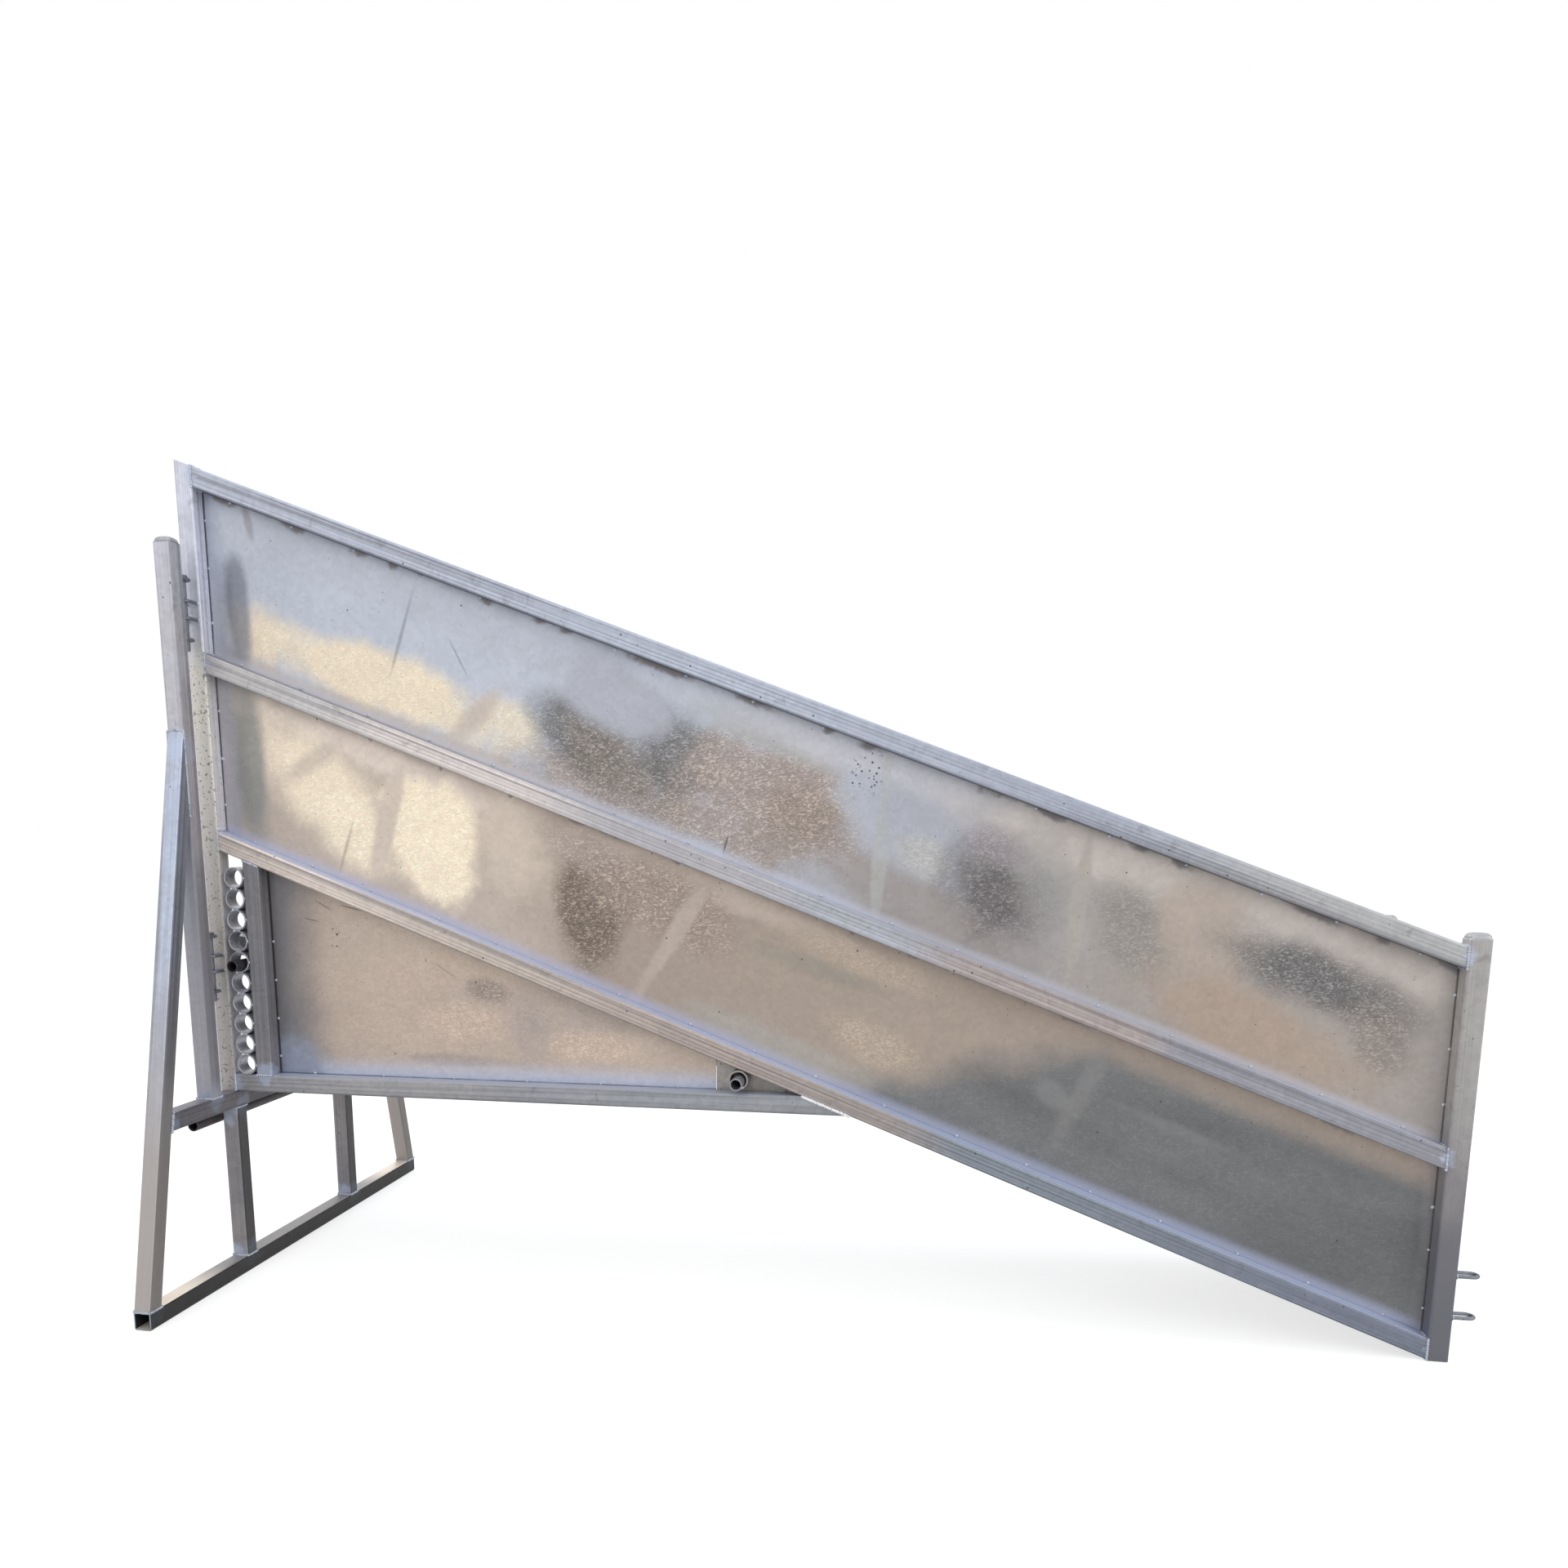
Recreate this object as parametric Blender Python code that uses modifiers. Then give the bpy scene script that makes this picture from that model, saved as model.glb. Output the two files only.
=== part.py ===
"""Sheep loading ramp: a sloping chute of square tube and sheet, carried by a cross-wise stand.

Metres, +Z up. X runs from the truck end to the entry end, -Y is the near side.
In the code, d is the distance from the truck-end face of the chute, u the distance
along the underside of the floor rail, n the distance above that underside, square
to the slope, s the distance along the swinging deck from its pivot, and a the
distance above the pivot's centre, square to the deck.
"""

import math

import bmesh
import bpy
from mathutils import Matrix, Vector

# Square tube
TUBE = 0.040
TUBE_WALL = 0.0025
TUBE_CORNER = 0.004
TUBE_CORNER_STEPS = 2
CAP = 0.003
DOME_ROUND = 0.0035
DOME_STEPS = 3

# Chute
LENGTH = 2.670
WIDTH = 0.550
DECK_HEIGHT = 1.065
SIDE_HEIGHT = 0.778
GROUND_CLEAR = 0.002
SHEET = 0.0016
SHEET_LAP = TUBE / 2
WEDGE_LAP = 0.008
ENTRY_RISE = 0.015

# Free space left between welded pieces
FIT = 0.0003

# Welded rings and the bar that lies in one pair of them
RING_OD = 0.0483
RING_WALL = 0.0029
RING_COUNT = 10
RING_WELD = 0.004
RING_GAP = 0.0084
SUPPORT_RING = 5
BAR_OD = 0.0269
BAR_WALL = 0.0026
BAR_OUT = 0.030

# Pivot at the tip of the wedge
SLEEVE_OD = 0.0424
SLEEVE_WALL = 0.0032
SLEEVE_GAP = 0.0088
SLEEVE_SINK = 0.001
PIVOT_OUT = 0.032
PIVOT_PLATE = 0.005
PIVOT_PLATE_BACK = 0.055
PIVOT_PLATE_AHEAD = 0.080
PIVOT_HOLE_SPACE = 0.0006
SHEET_BREAK = 0.001

# Fixed floor
FLOOR_PLATE = 0.003
BEARER = 0.020
BEARER_WALL = 0.002
BEARER_LIFT = 0.0016
BEARER_COUNT = 6
BEARER_INSET = 0.050
FLOOR_SHORT = 0.005
CLEAT_FOOT = 0.014
CLEAT_TOP = 0.010
CLEAT_HEIGHT = 0.006
CLEAT_PITCH = 0.200

# Swinging deck
DECK_SPACE = 0.009
DECK_BAR = 0.010
DECK_BAYS = 4
DECK_HINGE_SPACE = 0.003
BARREL_OD = 0.0337
BARREL_WALL = 0.0026
BARREL_WELD = 0.0006
BARREL_INSET = 0.002

# Stand
CROSS_TOP = 0.4465
SILL_LENGTH = 1.284
POST_GAP = 0.054
POST_TOP = 1.656
OUTRIGGER_TOP = 1.265
TIE_LENGTH = 0.742
TIE_DROP = 0.064

# Rod loops and the pins dropped through them
ROD = 0.008
EYE = 0.016
LOOP_STEPS = 10
LOOP_RESOLUTION = 3
POST_LOOP_STEP = 0.063
CHUTE_LOOP_STEP = 0.018
UPPER_SET = 1.5255
LOWER_SET = 0.750
ENTRY_LOOP_HEIGHTS = (0.176, 0.091)
ENTRY_LOOP_OUT = 0.046
PIN = 0.012
PIN_HEAD = 0.020
PIN_HEAD_HEIGHT = 0.005
PIN_BELOW = 0.020
PIN_BEVEL = 0.001

# Mesh steps and tolerances
PIPE_SIDES = 24
SHARP = math.radians(40)
MERGE = 0.00005
CUT_SPARE = 5

# Base colour, roughness and metallic of each kind of steel
TUBE_LOOK = ((0.56, 0.58, 0.60), 0.45, 0.85)
SHEET_LOOK = ((0.60, 0.60, 0.58), 0.50, 0.80)
STAND_LOOK = ((0.60, 0.61, 0.62), 0.48, 0.80)
PIPE_LOOK = ((0.50, 0.52, 0.54), 0.42, 0.85)
BAR_LOOK = ((0.20, 0.20, 0.21), 0.55, 0.70)
RING_LOOK = ((0.54, 0.56, 0.60), 0.46, 0.80)
ROD_LOOK = ((0.34, 0.36, 0.40), 0.45, 0.80)
FLOOR_LOOK = ((0.42, 0.40, 0.37), 0.60, 0.70)
DECK_LOOK = ((0.48, 0.47, 0.45), 0.55, 0.75)

# Slope of the chute: the floor rail's far lower corner comes down to the ground
RUN = LENGTH - TUBE
DROP = DECK_HEIGHT - GROUND_CLEAR
SLOPE = math.acos(TUBE / math.hypot(DROP, RUN)) - math.atan2(RUN, DROP)
SIN = math.sin(SLOPE)
COS = math.cos(SLOPE)
TAN = math.tan(SLOPE)
RAIL_DEPTH = TUBE / COS

# Half widths, and the world X of the truck-end face
HALF = WIDTH / 2
TUBE_Y = HALF - TUBE / 2
INNER_Y = HALF - TUBE - FIT
SHEET_Y = INNER_Y - SHEET
TRUCK_X = (FIT + BAR_OD - LENGTH - ENTRY_LOOP_OUT) / 2

# Wedge frame, rings and the seats in their bores
CHUTE_BASE = CROSS_TOP + FIT
WEDGE_MID = CHUTE_BASE + TUBE / 2
WEDGE_TOP = CHUTE_BASE + TUBE
RING_D = TUBE + RING_GAP + RING_OD / 2
RING_PITCH = math.sqrt(RING_OD ** 2 - RING_WELD ** 2)
RING_LOW = WEDGE_TOP + FIT + RING_OD / 2
WEDGE_POST_D = RING_D + RING_OD / 2 + FIT + TUBE / 2
SEAT_DROP = RING_OD / 2 - RING_WALL - BAR_OD / 2 - FIT
BAR_Z = RING_LOW + SUPPORT_RING * RING_PITCH - SEAT_DROP
TOP_SEAT_Z = RING_LOW + (RING_COUNT - 1) * RING_PITCH - SEAT_DROP

# Fixed floor, measured square to the slope
PLATE_LOW = BEARER_LIFT + BEARER
PLATE_HIGH = PLATE_LOW + FLOOR_PLATE
SHEET_LIFT = PLATE_HIGH + CLEAT_HEIGHT + 2 * FIT

X_AXIS = Vector((1, 0, 0))
Y_AXIS = Vector((0, 1, 0))
Z_AXIS = Vector((0, 0, 1))
DOWNHILL = Vector((COS, 0, -SIN))
SLOPE_UP = Vector((SIN, 0, COS))
SIDES = (("near", -1), ("far", 1))

for old in list(bpy.data.objects):
    bpy.data.objects.remove(old, do_unlink=True)

ramp = bpy.data.collections.new("sheep_loading_ramp")
bpy.context.scene.collection.children.link(ramp)
cutters = bpy.data.collections.new("joined_shapes")
bpy.context.scene.collection.children.link(cutters)


def at(d, y, z):
    """World point for a distance from the truck-end face."""
    return Vector((d + TRUCK_X, y, z))


def floor_top(d):
    """Height of the floor rail's top."""
    return DECK_HEIGHT - d * TAN


def above(d, n):
    """Height of the line that lies n above the floor rail's underside."""
    return floor_top(d) - RAIL_DEPTH + n / COS


def on_slope(u, y, n):
    """World point u along the floor rail's underside and n above it."""
    return at(0, y, above(0, 0)) + DOWNHILL * u + SLOPE_UP * n


def frame(origin, along, up):
    """Matrix that takes local X to along and local Z to up."""
    turn = Matrix((along, up.cross(along), up)).transposed()
    return Matrix.Translation(origin) @ turn.to_4x4()


def paint(item, look):
    """Give an object its own steel material."""
    colour, roughness, metallic = look
    material = bpy.data.materials.new(item.name + "_steel")
    material.use_nodes = True
    shader = material.node_tree.nodes["Principled BSDF"]
    shader.inputs["Base Color"].default_value = (*colour, 1)
    shader.inputs["Roughness"].default_value = roughness
    shader.inputs["Metallic"].default_value = metallic
    item.data.materials.clear()
    item.data.materials.append(material)


def place(name, piece, look, origin=None, smooth=False):
    """Turn finished geometry into a named object with its origin where asked."""
    origin = origin or Vector((0, 0, 0))
    bmesh.ops.translate(piece, vec=-origin, verts=piece.verts)
    mesh = bpy.data.meshes.new(name)
    piece.to_mesh(mesh)
    piece.free()
    if smooth:
        mesh.shade_smooth()
        mesh.set_sharp_from_angle(angle=SHARP)
    item = bpy.data.objects.new(name, mesh)
    item.location = origin
    ramp.objects.link(item)
    paint(item, look)
    return item


def square_skin(size, corner, length):
    """Open-ended square skin along X with rounded corners."""
    skin = bmesh.new()
    bmesh.ops.create_cube(skin, size=1)
    bmesh.ops.scale(skin, vec=(length, size, size), verts=skin.verts)
    bmesh.ops.bevel(
        skin,
        geom=[edge for edge in skin.edges if edge.calc_length() > length / 2],
        offset=corner,
        segments=TUBE_CORNER_STEPS,
        profile=0.5,
        affect="EDGES",
    )
    skin.normal_update()
    ends = [face for face in skin.faces if abs(face.normal.x) > 0.5]
    bmesh.ops.delete(skin, geom=ends, context="FACES_ONLY")
    return skin


def round_skin(diameter, length):
    """Open-ended round skin along X."""
    skin = bmesh.new()
    bmesh.ops.create_cone(
        skin,
        cap_ends=False,
        segments=PIPE_SIDES,
        radius1=diameter / 2,
        radius2=diameter / 2,
        depth=length,
        matrix=Matrix.Rotation(math.pi / 2, 4, "Y"),
    )
    return skin


def rim(piece, point, normal):
    """Edges that lie in a plane."""
    found = []
    for edge in piece.edges:
        offsets = [abs((vert.co - point).dot(normal)) for vert in edge.verts]
        if max(offsets) < MERGE:
            found.append(edge)
    return found


def trim(skin, point, normal):
    """Cut away what lies beyond a plane."""
    bmesh.ops.bisect_plane(
        skin,
        geom=skin.verts[:] + skin.edges[:] + skin.faces[:],
        dist=MERGE / 10,
        plane_co=point,
        plane_no=normal,
        clear_outer=True,
    )


def hollow(skins, start, end, up, cuts, cap=None):
    """Wall between an outer and an inner skin, cut by a plane at each end.

    A cap closes the end: "flat" leaves the cut plane as it is, "dome" rounds its rim.
    """
    along = (end - start).normalized()
    first = cuts[0] or -along
    last = cuts[1] or along
    piece = bmesh.new()
    for skin, cap_drop in zip(skins, (0, CAP)):
        bmesh.ops.transform(skin, matrix=frame((start + end) / 2, along, up), verts=skin.verts)
        trim(skin, start, first)
        stop = end - along * cap_drop if cap else end
        trim(skin, stop, last)
        if cap:
            bmesh.ops.holes_fill(skin, edges=rim(skin, stop, last), sides=0)
            if cap == "dome" and not cap_drop:
                bmesh.ops.bevel(
                    skin,
                    geom=rim(skin, stop, last),
                    offset=DOME_ROUND,
                    segments=DOME_STEPS,
                    profile=0.5,
                    affect="EDGES",
                )
        holder = bpy.data.meshes.new("holder")
        skin.to_mesh(holder)
        skin.free()
        piece.from_mesh(holder)
        bpy.data.meshes.remove(holder)
    open_ends = [(start, first)] if cap else [(start, first), (end, last)]
    for point, normal in open_ends:
        bmesh.ops.triangle_fill(
            piece,
            edges=rim(piece, point, normal),
            normal=normal,
            use_beauty=True,
        )
    bmesh.ops.recalc_face_normals(piece, faces=piece.faces)
    return piece


def square_tube(name, start, end, up, look, cuts=(None, None), cap=None, origin=None):
    """Hollow square tube between two points on its centre line."""
    length = (end - start).length + 2 * CUT_SPARE * TUBE
    skins = (
        square_skin(TUBE, TUBE_CORNER, length),
        square_skin(TUBE - 2 * TUBE_WALL, TUBE_CORNER - TUBE_WALL, length),
    )
    return place(name, hollow(skins, start, end, up, cuts, cap), look, origin)


def pipe(name, start, end, diameter, wall, look, origin=None, up=Z_AXIS):
    """Hollow round pipe between two points on its centre line."""
    length = (end - start).length + diameter
    skins = (round_skin(diameter, length), round_skin(diameter - 2 * wall, length))
    piece = hollow(skins, start, end, up, (None, None))
    return place(name, piece, look, origin, smooth=True)


def outline(name, loops, placed, thickness, look):
    """Flat shape of even thickness, centred on the XY plane of a placing matrix.

    The first loop of points is its edge, and any others are holes through it.
    """
    curve = bpy.data.curves.new(name, "CURVE")
    curve.dimensions = "2D"
    curve.fill_mode = "BOTH"
    curve.extrude = thickness / 2
    for points in loops:
        spline = curve.splines.new("POLY")
        spline.points.add(len(points) - 1)
        for point, (x, y) in zip(spline.points, points):
            point.co = (x, y, 0, 1)
        spline.use_cyclic_u = True
        spline.use_smooth = False
    item = bpy.data.objects.new(name, curve)
    item.matrix_world = placed
    ramp.objects.link(item)
    paint(item, look)
    return item


def as_mesh(item, look):
    """Replace a curve object by the mesh that it makes, with its caps welded on."""
    bpy.context.view_layer.update()
    evaluated = item.evaluated_get(bpy.context.evaluated_depsgraph_get())
    mesh = bpy.data.meshes.new_from_object(evaluated)
    piece = bmesh.new()
    piece.from_mesh(mesh)
    bmesh.ops.remove_doubles(piece, verts=piece.verts, dist=MERGE)
    bmesh.ops.recalc_face_normals(piece, faces=piece.faces)
    piece.to_mesh(mesh)
    piece.free()
    name = item.name
    placed = item.matrix_world.copy()
    bpy.data.objects.remove(item, do_unlink=True)
    mesh.shade_smooth()
    mesh.set_sharp_from_angle(angle=SHARP)
    made = bpy.data.objects.new(name, mesh)
    made.matrix_world = placed
    ramp.objects.link(made)
    paint(made, look)
    return made


def weld_on(item, added):
    """Unite a second closed shape with an object."""
    ramp.objects.unlink(added)
    cutters.objects.link(added)
    added.hide_render = True
    added.display_type = "WIRE"
    union = item.modifiers.new("weld", "BOOLEAN")
    union.operation = "UNION"
    union.solver = "EXACT"
    union.object = added


def circle(x, y, radius, start=0.0, turn=2 * math.pi, steps=PIPE_SIDES, closed=True):
    """Points round a circle or an arc."""
    count = steps if closed else steps + 1
    angles = [start + turn * step / steps for step in range(count)]
    return [(x + radius * math.cos(angle), y + radius * math.sin(angle)) for angle in angles]


def cleated(start, end, low, high, bearers=()):
    """Edge-on shape of a floor plate: cleats on top and bearers below."""
    points = [(start, low)]
    for centre in bearers:
        points.append((centre - BEARER / 2, low))
        points.append((centre - BEARER / 2, low - BEARER))
        points.append((centre + BEARER / 2, low - BEARER))
        points.append((centre + BEARER / 2, low))
    points.append((end, low))
    points.append((end, high))
    count = int((end - start) / CLEAT_PITCH)
    first = (start + end - (count - 1) * CLEAT_PITCH) / 2
    for index in reversed(range(count)):
        centre = first + index * CLEAT_PITCH
        points.append((centre + CLEAT_FOOT / 2, high))
        points.append((centre + CLEAT_TOP / 2, high + CLEAT_HEIGHT))
        points.append((centre - CLEAT_TOP / 2, high + CLEAT_HEIGHT))
        points.append((centre - CLEAT_FOOT / 2, high))
    points.append((start, high))
    return points


def flat_ladder(stations, widths, low, depth):
    """Ladder along X: rungs between each pair of stations, rails between the outer widths."""
    piece = bmesh.new()
    corners = [[piece.verts.new((x, y, low)) for y in widths] for x in stations]
    for column in range(len(stations) - 1):
        for row in range(len(widths) - 1):
            is_bay = column % 2 == 1 and row == 1
            if not is_bay:
                near, far = corners[column], corners[column + 1]
                piece.faces.new((near[row], far[row], far[row + 1], near[row + 1]))
    lifted = bmesh.ops.extrude_face_region(piece, geom=piece.faces[:])["geom"]
    tops = [item for item in lifted if isinstance(item, bmesh.types.BMVert)]
    bmesh.ops.translate(piece, vec=Z_AXIS * depth, verts=tops)
    bmesh.ops.recalc_face_normals(piece, faces=piece.faces)
    return piece


def rod_loop(name, foot, out, reach):
    """Bent rod that leaves a face, rounds its eye and comes back."""
    bend = EYE / 2 + ROD / 2
    across = Z_AXIS.cross(out)
    eye = out * (reach - bend - ROD / 2)
    points = [out * FIT + across * bend]
    for step in range(LOOP_STEPS + 1):
        angle = math.pi * step / LOOP_STEPS
        points.append(eye + across * bend * math.cos(angle) + out * bend * math.sin(angle))
    points.append(out * FIT - across * bend)
    curve = bpy.data.curves.new(name, "CURVE")
    curve.dimensions = "3D"
    curve.bevel_depth = ROD / 2
    curve.bevel_resolution = LOOP_RESOLUTION
    curve.use_fill_caps = True
    spline = curve.splines.new("POLY")
    spline.points.add(len(points) - 1)
    for point, where in zip(spline.points, points):
        point.co = (*where, 1)
    item = bpy.data.objects.new(name, curve)
    item.location = foot
    ramp.objects.link(item)
    paint(item, ROD_LOOK)
    return item


def drop_pin(name, eye_line, set_height):
    """Headed pin, turned from a profile, hanging in the eyes of one set of loops."""
    rest = POST_LOOP_STEP + ROD / 2 + FIT
    length = rest + POST_LOOP_STEP + ROD / 2 + PIN_BELOW
    profile = (
        (0, PIN_HEAD_HEIGHT),
        (PIN_HEAD / 2 - PIN_BEVEL, PIN_HEAD_HEIGHT),
        (PIN_HEAD / 2, PIN_HEAD_HEIGHT - PIN_BEVEL),
        (PIN_HEAD / 2, 0),
        (PIN / 2, 0),
        (PIN / 2, PIN_BEVEL - length),
        (PIN / 2 - PIN_BEVEL, -length),
        (0, -length),
    )
    mesh = bpy.data.meshes.new(name)
    edges = [(first, first + 1) for first in range(len(profile) - 1)]
    mesh.from_pydata([(radius, 0, z) for radius, z in profile], edges, [])
    item = bpy.data.objects.new(name, mesh)
    item.location = eye_line + Z_AXIS * (set_height + rest)
    screw = item.modifiers.new("turn", "SCREW")
    screw.axis = "Z"
    screw.steps = PIPE_SIDES
    screw.render_steps = PIPE_SIDES
    screw.use_merge_vertices = True
    screw.merge_threshold = MERGE
    ramp.objects.link(item)
    paint(item, ROD_LOOK)
    return item


# Pivot centre, found from the space left over the wedge rail
sleeve_z = WEDGE_TOP + SLEEVE_GAP + SLEEVE_OD / 2
sleeve_d = (above(0, -SLEEVE_OD / 2 - FIT) - sleeve_z) / TAN
pivot_z = sleeve_z - (SLEEVE_OD / 2 - SLEEVE_WALL - BAR_OD / 2 - FIT)
pivot = at(sleeve_d, 0, pivot_z)
mitre_d = (above(0, -FIT) - WEDGE_MID) / TAN

# The two side frames
for side, sign in SIDES:
    y = sign * TUBE_Y
    upright_top = floor_top(TUBE / 2) + SIDE_HEIGHT
    square_tube(
        "truck_upright_" + side,
        at(TUBE / 2, y, CHUTE_BASE),
        at(TUBE / 2, y, upright_top),
        X_AXIS,
        TUBE_LOOK,
        (None, SLOPE_UP),
        "flat",
    )
    upright_top = floor_top(RUN) + SIDE_HEIGHT + ENTRY_RISE
    square_tube(
        "entry_upright_" + side,
        at(LENGTH - TUBE / 2, y, 0),
        at(LENGTH - TUBE / 2, y, upright_top),
        X_AXIS,
        TUBE_LOOK,
        cap="dome",
    )
    for rail, height in (("top", SIDE_HEIGHT), ("mid", SIDE_HEIGHT / 2), ("floor", 0)):
        first = TUBE + FIT
        last = RUN - FIT
        square_tube(
            rail + "_rail_" + side,
            at(first, y, floor_top(first) + height - RAIL_DEPTH / 2),
            at(last, y, floor_top(last) + height - RAIL_DEPTH / 2),
            SLOPE_UP,
            TUBE_LOOK,
            (-X_AXIS, X_AXIS),
        )
    square_tube(
        "wedge_post_" + side,
        at(WEDGE_POST_D, y, WEDGE_TOP + FIT),
        at(WEDGE_POST_D, y, above(WEDGE_POST_D, -FIT)),
        X_AXIS,
        TUBE_LOOK,
        (None, SLOPE_UP),
    )
    square_tube(
        "wedge_rail_" + side,
        at(TUBE + FIT, y, WEDGE_MID),
        at(mitre_d, y, WEDGE_MID),
        Z_AXIS,
        TUBE_LOOK,
        (None, SLOPE_UP),
    )

    # Sheets on the inner faces of the tubes
    upright = Matrix.Rotation(math.pi / 2, 4, "X")
    sheet_place = Matrix.Translation(at(0, sign * (INNER_Y - SHEET / 2), 0)) @ upright
    first = SHEET_LAP
    last = LENGTH - SHEET_LAP
    half_rail = SIDE_HEIGHT - RAIL_DEPTH / 2
    edge = (
        (first, above(first, SHEET_LIFT)),
        (last, above(last, SHEET_LIFT)),
        (last, floor_top(last) + half_rail),
        (first, floor_top(first) + half_rail),
    )
    outline("side_sheet_" + side, [edge], sheet_place, SHEET, SHEET_LOOK)
    first = WEDGE_POST_D
    last = sleeve_d - PIVOT_PLATE_BACK - SHEET_BREAK
    edge = (
        (first, WEDGE_MID),
        (last, WEDGE_MID),
        (last, above(last, WEDGE_LAP)),
        (first, above(first, WEDGE_LAP)),
    )
    outline("wedge_sheet_" + side, [edge], sheet_place, SHEET, SHEET_LOOK)

    # Pivot bracket: a plate across the tip of the wedge with the sleeve welded to it
    plate_y = sign * (INNER_Y - PIVOT_PLATE / 2)
    plate_place = Matrix.Translation(at(0, plate_y, 0)) @ upright
    first = sleeve_d - PIVOT_PLATE_BACK
    last = sleeve_d + PIVOT_PLATE_AHEAD
    edge = (
        (first, WEDGE_MID),
        (last, WEDGE_MID),
        (last, above(last, WEDGE_LAP)),
        (first, above(first, WEDGE_LAP)),
    )
    hole = circle(sleeve_d, pivot_z, BAR_OD / 2 + PIVOT_HOLE_SPACE)
    name = "pivot_bracket_" + side
    bracket = outline(name, [edge, hole], plate_place, PIVOT_PLATE, PIPE_LOOK)
    bracket = as_mesh(bracket, PIPE_LOOK)
    sleeve = pipe(
        "sleeve_shape_" + side,
        at(sleeve_d, sign * (INNER_Y - SLEEVE_SINK), sleeve_z),
        at(sleeve_d, sign * HALF, sleeve_z),
        SLEEVE_OD,
        SLEEVE_WALL,
        PIPE_LOOK,
    )
    weld_on(bracket, sleeve)

    # Ten slices of pipe, welded one on the other between upright and wedge post
    neck = math.asin(RING_WELD / RING_OD)
    right = []
    left = []
    bores = []
    for index in range(RING_COUNT):
        z = RING_LOW + index * RING_PITCH
        low = -math.pi / 2 + (neck if index else 0)
        high = math.pi / 2 - (neck if index < RING_COUNT - 1 else 0)
        arc = circle(RING_D, z, RING_OD / 2, low, high - low, PIPE_SIDES // 2, closed=False)
        right.extend(arc[:-1])
        mirrored = [(2 * RING_D - d, height) for d, height in arc]
        left.extend(mirrored[1:] if index < RING_COUNT - 1 else mirrored[1:-1])
        bores.append(circle(RING_D, z, RING_OD / 2 - RING_WALL))
    right.append((RING_D, RING_LOW + (RING_COUNT - 1) * RING_PITCH + RING_OD / 2))
    edge = right + left[::-1]
    ring_place = Matrix.Translation(at(0, y, 0)) @ upright
    rings = outline("ring_stack_" + side, [edge] + bores, ring_place, TUBE, RING_LOOK)
    as_mesh(rings, RING_LOOK)

# Pivot pipe through both sleeves, and the support bar in one pair of rings
reach = Y_AXIS * (HALF + PIVOT_OUT)
pipe("pivot_pipe", pivot - reach, pivot + reach, BAR_OD, BAR_WALL, PIPE_LOOK, pivot)
bar = at(RING_D, 0, BAR_Z)
reach = Y_AXIS * (HALF + BAR_OUT)
pipe("support_bar", bar - reach, bar + reach, BAR_OD, BAR_WALL, BAR_LOOK, bar)

# Fixed floor from the pivot down to the entry
pivot_u = (pivot - on_slope(0, 0, 0)).dot(DOWNHILL)
plate_start = pivot_u + TUBE / 2 + DECK_HINGE_SPACE
plate_end = (LENGTH - FLOOR_SHORT - (PLATE_HIGH + CLEAT_HEIGHT) * SIN) / COS
bearer_first = (sleeve_d + PIVOT_PLATE_AHEAD) / COS + BEARER
bearer_last = (RUN - BEARER_INSET) / COS
bearer_step = (bearer_last - bearer_first) / (BEARER_COUNT - 1)
bearers = [bearer_first + index * bearer_step for index in range(BEARER_COUNT)]
floor_loops = [cleated(plate_start, plate_end, PLATE_LOW, PLATE_HIGH, bearers)]
for centre in bearers:
    inside = BEARER / 2 - BEARER_WALL
    middle = PLATE_LOW - BEARER / 2
    floor_loops.append([
        (centre - inside, middle - inside),
        (centre + inside, middle - inside),
        (centre + inside, middle + inside),
        (centre - inside, middle + inside),
    ])
floor_place = frame(on_slope(0, 0, 0), DOWNHILL, DOWNHILL.cross(SLOPE_UP))
outline("fixed_floor", floor_loops, floor_place, 2 * INNER_Y, FLOOR_LOOK)

# Deck angle at rest, where the deck frame just clears the bar
deck_low = BARREL_OD / 2 - BARREL_WELD
to_bar = bar - pivot
bar_height = deck_low - BAR_OD / 2 - FIT
deck_angle = math.atan2(to_bar.z, -to_bar.x) - math.asin(bar_height / to_bar.length)
DECK_OUT = Vector((-math.cos(deck_angle), 0, math.sin(deck_angle)))
DECK_UP = Vector((math.sin(deck_angle), 0, math.cos(deck_angle)))
deck_end = (at(RING_D, 0, TOP_SEAT_Z) - pivot).length + TUBE / 2
deck_half = SHEET_Y - DECK_SPACE

# Deck frame: a ladder of flat bar on edge, with the hinge barrel under its first rung.
# One flat of the barrel faces the rung, whatever the deck's angle.
rung_first = -DECK_BAR / 2
bay = (deck_end - rung_first - DECK_BAR) / DECK_BAYS
stations = []
for index in range(DECK_BAYS + 1):
    rung = rung_first + index * bay
    stations.extend((rung, rung + DECK_BAR))
inner_half = deck_half - DECK_BAR
ladder = flat_ladder(stations, (-deck_half, -inner_half, inner_half, deck_half), deck_low, TUBE)
deck_frame = place("deck_frame", ladder, DECK_LOOK)
deck_frame.matrix_world = frame(pivot, DECK_OUT, DECK_UP)
reach = Y_AXIS * (deck_half - BARREL_INSET)
barrel = pipe(
    "barrel_shape",
    pivot - reach,
    pivot + reach,
    BARREL_OD,
    BARREL_WALL,
    DECK_LOOK,
    pivot,
    Matrix.Rotation(math.pi / PIPE_SIDES, 3, "Y") @ DECK_UP,
)
weld_on(deck_frame, barrel)

# Deck plate, lying on the ladder
deck_plate_low = deck_low + TUBE + FIT
edge = cleated(-TUBE / 2, deck_end, deck_plate_low, deck_plate_low + FLOOR_PLATE)
plate_place = frame(pivot, DECK_OUT, DECK_OUT.cross(DECK_UP))
outline("deck_plate", [edge], plate_place, 2 * deck_half, DECK_LOOK)

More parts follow.
